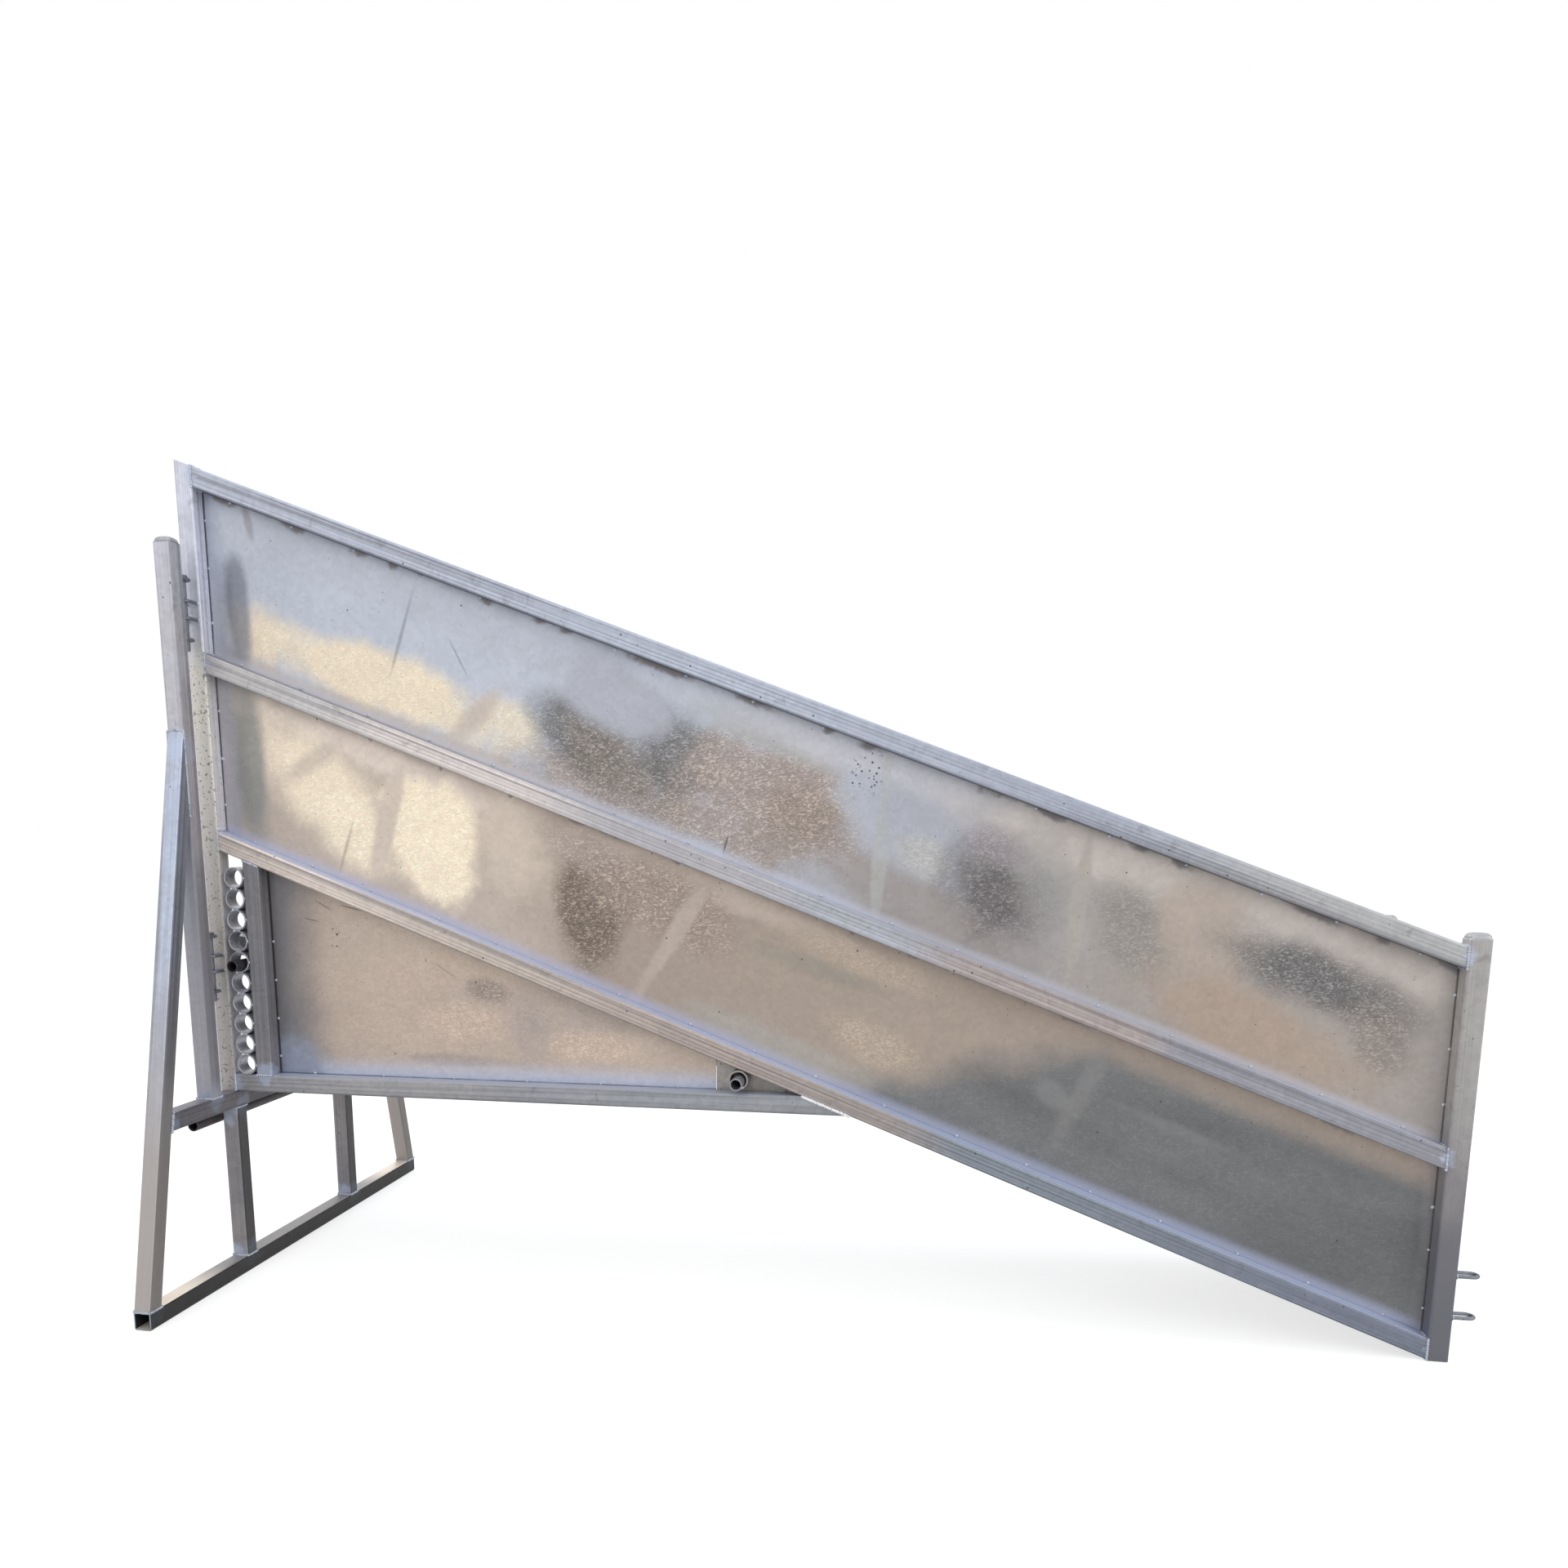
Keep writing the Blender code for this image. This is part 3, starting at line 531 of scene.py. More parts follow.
# Painted light: the truck upright's +X faces are brightened by 1.35
paint(turned_shade(truck, 1.35), *both("truck_upright"))

entry = tube_finish("entry_upright_steel", ENTRY_TONE, Z_AXIS, chute_joints, 0.5, 0.02, 0.5)
height = entry.plus(entry.at(2), entry.ease(entry.noise(6.0), 0.3, 0.7, -0.06, 0.06))
entry.tint(entry.ease(height, 0.62, 0.1), ENTRY_LOW)
# Painted light and shade: the entry upright's -X faces are brightened by 1.6 and its +X faces
# shaded to 0.85
paint(turned_shade(entry, 0.85, back=1.6), *both("entry_upright"))

post = tube_finish("post_steel", STAND_TONE, Z_AXIS, stand_joints, 0.8, 0.05)
post.tint(post.ease(post.at(2), 1.3, 0.8, 0.0, 0.6), (0.27, 0.265, 0.3))
post_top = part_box("post_near")[1].z
post.tint(post.ease(post.at(2), post_top - 0.004, post_top - 0.002, 0.0, 0.65), DARK_JOINT_AND_SHADE)
paint(turned_shade(post, 0.95), *both("post"))
leg = tube_finish("leg_steel", LEG_SHADE_TONE, Z_AXIS, stand_joints, 0.8, 0.05)
# Painted shade: the legs' +X faces darken to 0.22 of their tone
paint(turned_shade(leg, 0.22), *both("inner_leg"))
cross = tube_finish("cross_tube_steel", CROSS_TONE, Y_AXIS, stand_joints, 0.9, 0.045)
paint(turned_shade(cross, 0.5, (0.3, 0.295, 0.34), 0.5), "cross_tube")

sill = tube_finish("sill_steel", (0.24, 0.23, 0.23), Y_AXIS, stand_joints, 0.9, 0.05)
# Painted light and shade: the sill's upper faces take pale cream beyond the legs and grey between
# them, and its +X faces are shaded almost to black
beyond = sill.maths("ABSOLUTE", sill.at(1))
upper = sill.blend(sill.ease(beyond, 0.32, 0.52), (0.34, 0.325, 0.33), (0.98, 0.87, 0.74))
paint(turned_shade(sill, 0.07, upper, 0.9), "sill")

for side, sign in SIDES:
    lean = Vector((0, lean_head.y - lean_foot.y, lean_head.z - lean_foot.z)).normalized()
    lean.y *= sign
    made = tube_finish("outrigger_steel_" + side, LEAN_TONE, lean, stand_joints, 0.8, 0.04)
    low = made.ease(made.at(2), 0.85, 0.25)
    made.tint(made.times(low, 0.9), (0.42, 0.37, 0.34))
    paint(turned_shade(made, 0.5), "outrigger_" + side)


# Sheets: clouds of old and new zinc, crystals, glow off the rails, painted shade and reflections,
# and heat marks at the tacks
floor_start = end_point("floor_rail_near", False, True)
PANEL_GAP = rail_start.z - end_point("mid_rail_near", False, True).z
RAIL_DEPTH = rail_start.z - end_point("top_rail_near", False, False).z
FAR_SHIFT = 0.3


def sheet_places(made):
    """Run along the ramp with the far side shifted, the plain run, and rise over the floor rail."""
    run = made.at(0)
    over = made.minus(made.at(2), floor_start.z)
    fall = made.times(made.minus(run, floor_start.x), math.tan(SLOPE))
    rise = made.plus(over, fall)
    far = made.ease(made.at(1), -0.1, 0.1, 0.0, FAR_SHIFT)
    made.lay_out(made.plus(run, far), rise)
    return made.plus(run, far), run, rise


def sheet_surface(made):
    """What every sheet has on top of its clouds."""
    made.brighten(made.cells(105.0), 0.955, 1.045)
    made.mottle(420.0, 2.0, 0.93, 1.07)
    made.mottle(24.0, 5.0, 0.94, 1.06)
    made.specks(34.0, 0.085, 0.13, PIT)
    made.specks(90.0, 0.13, 0.06, PIT, lift=4.4)
    made.roughen(made.noise(18.0, 5.0), 0.14)
    made.relief(made.noise(2.6, 1.0), 0.006)
    made.relief(made.noise(300.0, 2.0), 0.00005)


def crevice_shade(made, value, low, high, strength):
    """Painted shade: dark line in a crevice beside a rail or upright, where a value lies between
    two bounds, with soft ends.
    """
    soft = (high - low) * 0.35
    inside = made.times(made.ease(value, low, low + soft), made.ease(value, high, high - soft))
    uneven = made.ease(made.noise(12.0, 4.0, lift=8.0), 0.25, 0.6, 0.45 * strength, strength)
    amount = made.times(made.times(inside, uneven), made.outside())
    made.tint(amount, DARK_JOINT_AND_SHADE)


def glow(made, rise, line, width, colour, strength):
    """Light off a rail's upper face, brightest at the sheet's foot."""
    amount = made.times(made.ease(rise, line + width, line), made.ease(rise, line - 0.003, line))
    made.tint(made.times(made.times(amount, strength), made.outside()), colour)


def heat_marks(made, run, rise, line, pitch, reach, strength):
    """Smudges on the sheet below a rail, one at each tack weld, unevenly spaced."""
    jitter = made.ease(made.noise(3.0, 1.0), 0.3, 0.7, -0.9, 0.9)
    along = made.plus(made.maths("DIVIDE", run, pitch), jitter)
    step = made.times(made.minus(made.maths("FRACT", along), 0.5), pitch)
    drop = made.minus(rise, line)
    reached = made.vector("LENGTH", made.joined(made.times(step, 0.45), drop))
    uneven = made.ease(made.noise(55.0, 4.0), 0.3, 0.7, -0.003, 0.003)
    amount = made.ease(made.plus(reached, uneven), reach * 0.35, reach, strength, 0.0)
    made.tint(made.times(amount, made.outside()), HEAT)


side = Finish("side_sheet_zinc", PALE_ZINC, 0.36, 0.4)
shifted, run, rise = sheet_places(side)
LOWER_TOP = PANEL_GAP - RAIL_DEPTH
TOP_LINE = 2 * PANEL_GAP - RAIL_DEPTH
uneven = side.plus(shifted, side.times(side.ragged, 0.25))
side.tint(side.ease(uneven, 0.05, 0.75), WARM_GREY)
side.mottle(3.0, 3.0, 0.9, 1.1, 9.0)
cloud = side.cloud
cloud(-0.75, 0.68, 0.55, 0.055, LILAC, 0.3)
cloud(-0.94, 0.47, 0.31, 0.075, CREAM, 1.0, soft=0.35, frost=0.15)
cloud(-0.61, 0.495, 0.09, 0.06, CREAM, 0.8, soft=0.4, frost=0.2)
cloud(-0.68, 0.49, 0.022, 0.1, SAND, 0.8, -0.69)
cloud(-0.9, 0.395, 0.45, 0.022, SAND, 0.7)
cloud(-0.4, 0.445, 0.19, 0.065, BROWN, 0.85, frost=0.6)
cloud(-0.47, 0.52, 0.105, 0.065, CLOUD_DARK, 0.85, -0.1, frost=1.1)
cloud(-0.36, 0.49, 0.12, 0.08, UMBER_GREY, 0.85, frost=0.9)
cloud(-0.235, 0.56, 0.085, 0.095, CLOUD_DARK, 0.9, -0.35, frost=1.1)
cloud(-0.36, 0.635, 0.115, 0.065, LILAC, 0.95, soft=0.35)
cloud(-0.17, 0.45, 0.1, 0.05, BROWN, 0.8, frost=0.6)
cloud(-0.03, 0.545, 0.19, 0.125, ROSE_BROWN, 0.95, 0.15, soft=0.4, frost=0.6)
cloud(0.04, 0.53, 0.085, 0.07, (0.33, 0.265, 0.225), 0.65, frost=0.65)
cloud(-0.03, 0.68, 0.16, 0.035, (0.5, 0.5, 0.49), 0.65)
cloud(0.24, 0.625, 0.11, 0.12, LILAC, 0.75)
cloud(0.14, 0.715, 0.32, 0.045, (0.66, 0.66, 0.72), 0.8)
cloud(0.78, 0.69, 0.42, 0.055, (0.69, 0.62, 0.575), 0.85)
cloud(0.28, 0.44, 0.26, 0.065, (0.38, 0.335, 0.31), 0.85)
cloud(0.275, 0.555, 0.055, 0.04, (0.58, 0.56, 0.51), 0.55, frost=0.4)
cloud(0.42, 0.53, 0.095, 0.09, (0.17, 0.155, 0.155), 0.95, frost=0.9)
cloud(0.425, 0.63, 0.06, 0.04, (0.36, 0.31, 0.33), 0.6, frost=0.4)
cloud(0.52, 0.58, 0.06, 0.1, (0.4, 0.385, 0.36), 0.5)
cloud(0.69, 0.56, 0.065, 0.1, (0.31, 0.29, 0.265), 0.65, frost=0.5)
cloud(0.83, 0.61, 0.08, 0.09, (0.54, 0.45, 0.385), 0.8)
cloud(0.93, 0.47, 0.21, 0.075, ORANGE, 0.85)
cloud(1.035, 0.605, 0.14, 0.062, CLOUD_DARK, 0.92, 0.0, frost=1.1)
cloud(1.15, 0.54, 0.055, 0.06, (0.29, 0.25, 0.225), 0.7, 0.5, frost=0.7)
cloud(0.19, 0.55, 0.014, 0.17, (0.52, 0.52, 0.51), 0.6, -0.06, 0.3)
# A post's painted reflection, as a narrow near-vertical band
cloud(0.585, 0.56, 0.014, 0.17, (0.49, 0.45, 0.4), 0.8, -0.1, 0.3)
cloud(-1.29, 0.5, 0.028, 0.3, (0.47, 0.5, 0.58), 0.7)
# Painted shadow and reflection of the truck upright, as a dark band beside it
cloud(-1.238, 0.51, 0.025, 0.11, SLATE, 0.75, soft=0.4)

# The lower sheet
below = side.ease(rise, LOWER_TOP + 0.03, LOWER_TOP + 0.005)
side.tint(below, side.blend(side.ease(uneven, -0.62, -0.38), SAND, TAN))
wavy = side.plus(shifted, side.times(side.ragged, 0.1))
dark_line = side.minus(side.times(side.minus(wavy, 0.1), 0.6), rise)
olive = side.times(side.ease(dark_line, -0.045, 0.055), side.ease(rise, 0.335, 0.265))
side.tint(side.times(olive, below), side.frosted(OLIVE, 0.16))
sweep = side.noise(1.0, 3.0, side.stretched((1.6, 6.0, 6.0), DOWNHILL))
side.brighten(side.times(side.ease(sweep, 0.3, 0.7), olive), 0.85, 1.22)
cloud(-0.98, 0.31, 0.26, 0.035, (0.8, 0.69, 0.61), 0.85)
cloud(-0.22, 0.315, 0.34, 0.028, (0.6, 0.5, 0.43), 0.7)
cloud(-0.6, 0.22, 0.07, 0.11, (0.66, 0.56, 0.47), 0.75)
cloud(-1.09, 0.215, 0.125, 0.09, CREAM, 0.9, frost=0.15)
cloud(-0.99, 0.11, 0.08, 0.08, CREAM, 0.9, frost=0.2)
cloud(-0.805, 0.17, 0.1, 0.135, CREAM, 1.0, soft=0.25, frost=0.2)
cloud(-1.07, 0.25, 0.02, 0.12, SAND, 0.8, -0.8)
cloud(-0.905, 0.17, 0.02, 0.15, SAND, 0.85, -0.27, 0.35)
cloud(-0.435, 0.165, 0.075, 0.125, UMBER, 0.92, -0.15, frost=1.3)
cloud(-0.45, 0.29, 0.1, 0.04, ROSE_BROWN, 0.7, frost=0.5)
cloud(-0.27, 0.235, 0.13, 0.075, (0.33, 0.265, 0.225), 0.85, frost=0.7)
# A post's painted reflection, as a narrow slanted band
cloud(-0.265, 0.15, 0.018, 0.16, (0.5, 0.42, 0.365), 0.8, -0.48, 0.3)
cloud(0.06, 0.235, 0.13, 0.022, (0.28, 0.27, 0.23), 0.5, 0.05)
cloud(0.15, 0.29, 0.15, 0.03, (0.48, 0.39, 0.31), 0.6, frost=0.3)
cloud(0.16, 0.13, 0.09, 0.045, (0.47, 0.385, 0.305), 0.7, frost=0.35)
cloud(0.0, 0.04, 0.2, 0.03, GREEN_GREY, 0.5)
cloud(0.43, 0.295, 0.13, 0.035, (0.38, 0.31, 0.26), 0.7)
# A post's painted reflection, as a narrow slanted band
cloud(0.61, 0.2, 0.018, 0.14, (0.25, 0.245, 0.24), 0.55, -0.37, 0.5)
cloud(0.555, 0.175, 0.03, 0.025, (0.25, 0.25, 0.25), 0.6)
cloud(0.8, 0.205, 0.12, 0.012, (0.21, 0.215, 0.22), 0.6)
cloud(-1.29, 0.17, 0.03, 0.3, (0.4, 0.41, 0.47), 0.75)
# Painted shadow and reflection of the truck upright on the lower sheet
cloud(-1.232, 0.17, 0.034, 0.16, (0.26, 0.275, 0.27), 0.8)
# Painted light: a pale strip along the sheet's right edge beside the entry upright
cloud(1.29, 0.35, 0.025, 0.5, (0.46, 0.44, 0.44), 0.35)
side.relief(side.grain, 0.00012)

# Scratches and dark streaks
cloud(-0.845, 0.61, 0.004, 0.1, (0.17, 0.17, 0.2), 0.5, -0.3, 0.6)
cloud(-1.01, 0.07, 0.0038, 0.06, (0.24, 0.2, 0.17), 0.45, -0.3, 0.6)
cloud(-0.72, 0.59, 0.0024, 0.035, (0.22, 0.22, 0.25), 0.55, 0.55, 0.6)
cloud(-0.135, 0.42, 0.0022, 0.022, (0.1, 0.1, 0.1), 0.8, -0.25, 0.4)
cloud(-1.2, 0.71, 0.01, 0.04, (0.28, 0.24, 0.26), 0.6, 0.2)
sheet_surface(side)
side.specks(120.0, 0.36, 0.85, PIT, side.near(Vector((0.165, SHEET_FACE, 1.16)), 0.05, 0.07))
glow(side, rise, PANEL_GAP, 0.024, (0.62, 0.62, 0.7), 0.55)
glow(side, rise, 0.0, 0.032, (0.5, 0.53, 0.68), 0.65)
heat_marks(side, run, rise, TOP_LINE, 0.165, 0.018, 0.9)
heat_marks(side, run, rise, LOWER_TOP, 0.33, 0.013, 0.75)
# Painted shade in the crevices under the top and mid rails and beside both uprights
crevice_shade(side, rise, TOP_LINE - 0.002, TOP_LINE + 0.003, 0.6)
crevice_shade(side, rise, LOWER_TOP - 0.0025, LOWER_TOP + 0.003, 0.75)
left_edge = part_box("truck_upright_near")[1].x
right_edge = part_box("entry_upright_near")[0].x
crevice_shade(side, run, left_edge - 0.003, left_edge + 0.003, 0.75)
crevice_shade(side, run, right_edge - 0.003, right_edge + 0.003, 0.6)
paint(side.done(), *both("side_sheet"))

wedge = Finish("wedge_sheet_zinc", (0.53, 0.43, 0.36), 0.36, 0.4)
shifted, run, rise = sheet_places(wedge)
wedge.mottle(4.0, 4.0, 0.84, 1.14, 2.0)
cloud = wedge.cloud
cloud(-0.6, -0.13, 0.35, 0.05, (0.42, 0.36, 0.33), 0.6, 0.36)
cloud(-0.85, -0.2, 0.28, 0.09, (0.56, 0.44, 0.36), 0.5, 0.36)
cloud(-0.75, -0.215, 0.11, 0.034, (0.64, 0.5, 0.4), 0.55, 0.36, frost=0.25)
cloud(-0.43, -0.14, 0.1, 0.03, (0.64, 0.5, 0.4), 0.55, 0.36, frost=0.25)
cloud(-0.585, -0.175, 0.04, 0.07, (0.4, 0.35, 0.33), 0.45, 0.1)
cloud(-0.78, -0.315, 0.14, 0.012, (0.33, 0.28, 0.26), 0.55, 0.36)
cloud(-0.4, -0.055, 0.15, 0.02, (0.4, 0.33, 0.28), 0.45, 0.05)
cloud(-0.68, -0.115, 0.045, 0.024, (0.24, 0.2, 0.175), 0.6, 0.3, frost=0.8)
wedge.brighten(wedge.ease(wedge.grain, 0.4, 0.62), 0.95, 1.06)
wedge.relief(wedge.grain, 0.00008)
edge = wedge.plus(run, wedge.times(wedge.ragged, 0.06))
wedge.tint(wedge.ease(edge, -1.04, -1.2), (0.2, 0.195, 0.205))
low_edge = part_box("wedge_rail_near")[1].z
level = wedge.at(2)
wedge.tint(wedge.ease(level, low_edge + 0.055, low_edge, 0.0, 0.75), ZINC_SPRAY)
wedge.tint(wedge.near(Vector((-1.19, HALF, low_edge)), 0.14, 0.08), (0.3, 0.33, 0.42))
cloud(-1.071, -0.079, 0.019, 0.0016, SCRATCH, 0.7, -0.17, 0.4)
cloud(-1.003, -0.057, 0.026, 0.0016, SCRATCH, 0.7, 0.14, 0.4)
cloud(-1.105, -0.124, 0.019, 0.0014, SCRATCH, 0.6, 0.18, 0.4)
cloud(-0.78, -0.11, 0.022, 0.0014, (0.18, 0.15, 0.13), 0.5, -0.25, 0.4)
wedge.specks(95.0, 0.34, 0.7, PIT, wedge.near(Vector((-1.043, SHEET_FACE, 0.804)), 0.03, 0.04))
sheet_surface(wedge)
post_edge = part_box("wedge_post_near")[1].x
# Painted shade in the crevices beside the wedge post, along the wedge rail and under the floor rail
crevice_shade(wedge, run, post_edge - 0.003, post_edge + 0.004, 0.85)
crevice_shade(wedge, level, low_edge - 0.003, low_edge + 0.003, 0.6)
crevice_shade(wedge, rise, -RAIL_DEPTH - 0.006, -RAIL_DEPTH + 0.003, 0.8)
paint(wedge.done(), *both("wedge_sheet"))


# Floor and deck plates, worn and soiled by hooves
def plate_finish(name, tone):
    """Galvanised plate with large spangle, hoof scuffs in three directions, soil and grit."""
    made = Finish(name, tone, 0.36, 0.6)
    made.mottle(3.0, 4.0, 0.88, 1.12)
    made.brighten(made.cells(55.0), 0.86, 1.14)
    made.brighten(made.cells(130.0, 1), 0.94, 1.06)
    for along, lift in ((DOWNHILL, 0.0), (Y_AXIS, 3.0), ((DOWNHILL + Y_AXIS).normalized(), 6.0)):
        scuff = made.noise(1.0, 2.0, made.stretched((9, 190, 190), along, SLOPE_UP), lift)
        made.tint(made.ease(scuff, 0.62, 0.7, 0.0, 0.4), (0.58, 0.59, 0.62))
    soil = made.noise(9.0, 6.0, lift=5.0, warp=0.4)
    made.tint(made.ease(soil, 0.52, 0.72, 0.0, 0.45), (0.19, 0.165, 0.135))
    grit = made.ease(made.noise(150.0, 3.0, lift=1.0), 0.62, 0.67, 0.0, 0.6)
    made.tint(made.times(grit, made.ease(soil, 0.46, 0.62)), DIRT)
    made.specks(70.0, 0.12, 0.06, DIRT)
    made.roughen(made.ease(soil, 0.45, 0.65), 0.25)
    made.roughen(made.noise(40.0, 4.0), 0.1)
    made.relief(made.noise(60.0, 4.0), 0.0003)
    made.relief(made.noise(4.0, 1.0), 0.004)
    return made.done()


paint(plate_finish("floor_steel_worn", FLOOR_TONE), "fixed_floor")
paint(plate_finish("deck_steel_worn", FLOOR_TONE), "deck_plate", "deck_frame")


def round_finish(name, tone, roughness, metallic, rust):
    """Pipe, ring, rod and plate: mottled, with spangle, spots and some rust."""
    made = Finish(name, tone, roughness, metallic)
    made.mottle(30.0, 5.0, 0.75, 1.25)
    made.brighten(made.cells(140.0), 0.92, 1.08)
    made.tint(made.ease(made.noise(55.0, 5.0, lift=1.7), 0.55, 0.72, 0.0, rust), RUST)
    made.specks(130.0, 0.3, 0.15, PIT)
    made.roughen(made.noise(80.0, 4.0), 0.2)
    made.relief(made.noise(160.0, 4.0), 0.00025)
    return made.done()


ring_steel = round_finish("ring_steel", RING_TONE, 0.36, 0.55, 0.15)
bar_steel = round_finish("bar_steel", BAR_TONE, 0.42, 0.6, 0.55)
rod_steel = round_finish("rod_steel", ROD_TONE, 0.4, 0.55, 0.25)
pipe_steel = round_finish("pipe_steel", (0.3, 0.31, 0.34), 0.36, 0.55, 0.25)


def weld_finish(name, tone, roughness, metallic, low, high, soot=0.0):
    """Weld metal, rippled and mottled, and sooty where it wasn't brushed."""
    made = Finish(name, tone, roughness, metallic)
    made.mottle(160.0, 5.0, low, high)
    if soot:
        made.tint(made.ease(made.noise(60.0, 4.0, lift=6.0), 0.52, 0.7, 0.0, soot), SOOT)
    made.roughen(made.noise(90.0, 3.0), 0.2)
    made.relief(made.noise(420.0, 3.0), 0.0003)
    return made.done()


weld_steel = weld_finish("weld_bead", WELD_TONE, 0.34, 0.6, 0.7, 1.25, 0.55)
bright_weld = weld_finish("bright_weld", (0.8, 0.81, 0.83), 0.3, 0.5, 0.8, 1.15)
pale_weld = weld_finish("pale_weld", (0.5, 0.52, 0.58), 0.36, 0.45, 0.8, 1.2)
gusset = Finish("gusset_steel", (0.36, 0.345, 0.335), 0.42, 0.4)
gusset.mottle(40.0, 5.0, 0.75, 1.2)
rusty = gusset.ease(gusset.noise(60.0, 5.0, lift=2.2), 0.5, 0.66, 0.0, 0.7)
gusset.tint(rusty, (0.15, 0.105, 0.08))
gusset.roughen(gusset.noise(50.0, 3.0), 0.2)
gusset.relief(gusset.noise(110.0, 3.0), 0.0002)
gusset_steel = gusset.done()


def piece(name, mesh, material, body="root", smooth=True):
    """Turn finished geometry, in metres on the part at rest, into a piece that rides on a body."""
    data = bpy.data.meshes.new(name)
    mesh.to_mesh(data)
    mesh.free()
    if smooth:
        data.shade_smooth()
        data.set_sharp_from_angle(angle=SHARP)
    data.materials.append(material)
    item = add_item(name, data)
    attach(item, body)
    return item


def ring_of(mesh, centre, first, second, radius, sides):
    """Vertices round a centre."""
    made = []
    for index in range(sides):
        angle = 2 * math.pi * index / sides
        offset = first * math.cos(angle) + second * math.sin(angle)
        made.append(mesh.verts.new(centre + offset * radius))
    return made


def bridge(mesh, rings, closed=False):
    """Quads between one ring of vertices and the next."""
    pairs = list(zip(rings, rings[1:]))
    if closed:
        pairs.append((rings[-1], rings[0]))
    for low, high in pairs:
        for index in range(len(low)):
            after = (index + 1) % len(low)
            mesh.faces.new((low[index], low[after], high[after], high[index]))


PIPE_CHAMFER = 0.0007
PIPE_SIDES = 64


def add_pipe(mesh, node, middle, outer, inner):
    """Hollow pipe as long as a node is across the ramp, with broken edges, as one closed skin."""
    low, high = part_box(node)
    start = Vector((middle.x, low.y, middle.z))
    end = Vector((middle.x, high.y, middle.z))
    first = Y_AXIS.orthogonal().normalized()
    second = Y_AXIS.cross(first)
    edge = Y_AXIS * PIPE_CHAMFER
    rim = (inner, inner + PIPE_CHAMFER, outer - PIPE_CHAMFER, outer)
    near_end = zip(rim, (start + edge, start, start, start + edge))
    far_end = zip(rim[::-1], (end - edge, end, end, end - edge))
    profile = [*near_end, *far_end]
    rings = [ring_of(mesh, at, first, second, radius, PIPE_SIDES) for radius, at in profile]
    bridge(mesh, rings, closed=True)


def close_ends(mesh, rings):
    """Flat faces on the first and the last ring."""
    mesh.faces.new(rings[0][::-1])
    mesh.faces.new(rings[-1])


def add_sweep(mesh, points, radii, sides):
    """Round body along a line of points, closed at both ends."""
    rings = []
    before = None
    for index, where in enumerate(points):
        ahead = points[min(index + 1, len(points) - 1)] - points[max(index - 1, 0)]
        along = ahead.normalized()
        if before is None:
            before = along.orthogonal().normalized()
        first = (before - along * before.dot(along)).normalized()
        before = first
        rings.append(ring_of(mesh, where, first, along.cross(first), radii[index], sides))
    bridge(mesh, rings)
    close_ends(mesh, rings)


BEAD = 0.0026
THICK_BEAD = 0.003
BROAD_BEAD = 0.0034
BEAD_STEP = 0.0018
BEAD_SIDES = 8
BEAD_RIPPLE = 0.22
RIPPLE_TURN = 2.1
BEAD_UNEVEN = 0.12
BEAD_SHAKE = 0.0003
BEAD_TAPER = 0.6
BLOB_UNEVEN = 0.1


def add_bead(mesh, corners, radius=BEAD):
    """Rippled weld bead along the straight lines from corner to corner."""
    points = []
    for start, end in zip(corners, corners[1:]):
        count = max(2, round((end - start).length / BEAD_STEP))
        for index in range(count):
            points.append(start.lerp(end, index / count))
    points.append(corners[-1])
    radii = []
    shaken = []
    for index, where in enumerate(points):
        ripple = 1 + BEAD_RIPPLE * math.sin(index * RIPPLE_TURN)
        radii.append(radius * (ripple + dice.uniform(-BEAD_UNEVEN, BEAD_UNEVEN)))
        shake = [dice.uniform(-BEAD_SHAKE, BEAD_SHAKE) for axis in range(3)]
        shaken.append(where + Vector(shake))
    radii[0] *= BEAD_TAPER
    radii[-1] *= BEAD_TAPER
    add_sweep(mesh, shaken, radii, BEAD_SIDES)


def add_blob(mesh, centre, radius, flat, up=Y_AXIS):
    """Small dome of weld metal, flattened along one direction."""
    made = bmesh.ops.create_icosphere(mesh, subdivisions=2, radius=radius)["verts"]
    turn = Z_AXIS.rotation_difference(up).to_matrix()
    for vert in made:
        shape = vert.co * (1 + dice.uniform(-BLOB_UNEVEN, BLOB_UNEVEN))
        shape.z *= flat
        vert.co = centre + turn @ shape


# Rings, pipes, rods and pins, finer than the frame's
RING_WALL = 0.0029
PIPE_WALL = 0.0026
RING_WELD = 0.0032
RING_WELD_APART = 0.0035
RING_WELD_IN = 0.002
RING_TACK = 0.0034
RING_TACK_IN = 0.0015
RING_TACK_DRIFT = 0.003
TACK_FLAT = 0.7
WELD_FLAT = 0.8
for side, sign in SIDES:
    stack = "ring_stack_" + side
    low, high, middle = extent(stack)
    outer = (high.x - low.x) / 2
    count = round((high.z - low.z) / (2 * outer))
    pitch = (high.z - low.z - 2 * outer) / (count - 1)
    face = low.y if sign < 0 else high.y
    rings = bmesh.new()
    beads = bmesh.new()
    for index in range(count):
        z = low.z + outer + index * pitch
        add_pipe(rings, stack, Vector((middle.x, 0, z)), outer, outer - RING_WALL)
        if index < count - 1:
            for reach in (-RING_WELD_APART, RING_WELD_APART):
                where = (middle.x + reach, face - sign * RING_WELD_IN, z + pitch / 2)
                add_blob(beads, Vector(where), RING_WELD, WELD_FLAT)
        drift = dice.uniform(-RING_TACK_DRIFT, RING_TACK_DRIFT)
        where = (high.x, face - sign * RING_TACK_IN, z + drift)
        add_blob(beads, Vector(where), RING_TACK, TACK_FLAT)
    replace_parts(piece("rings_" + side, rings, ring_steel), stack)
    piece("ring_welds_" + side, beads, weld_steel)

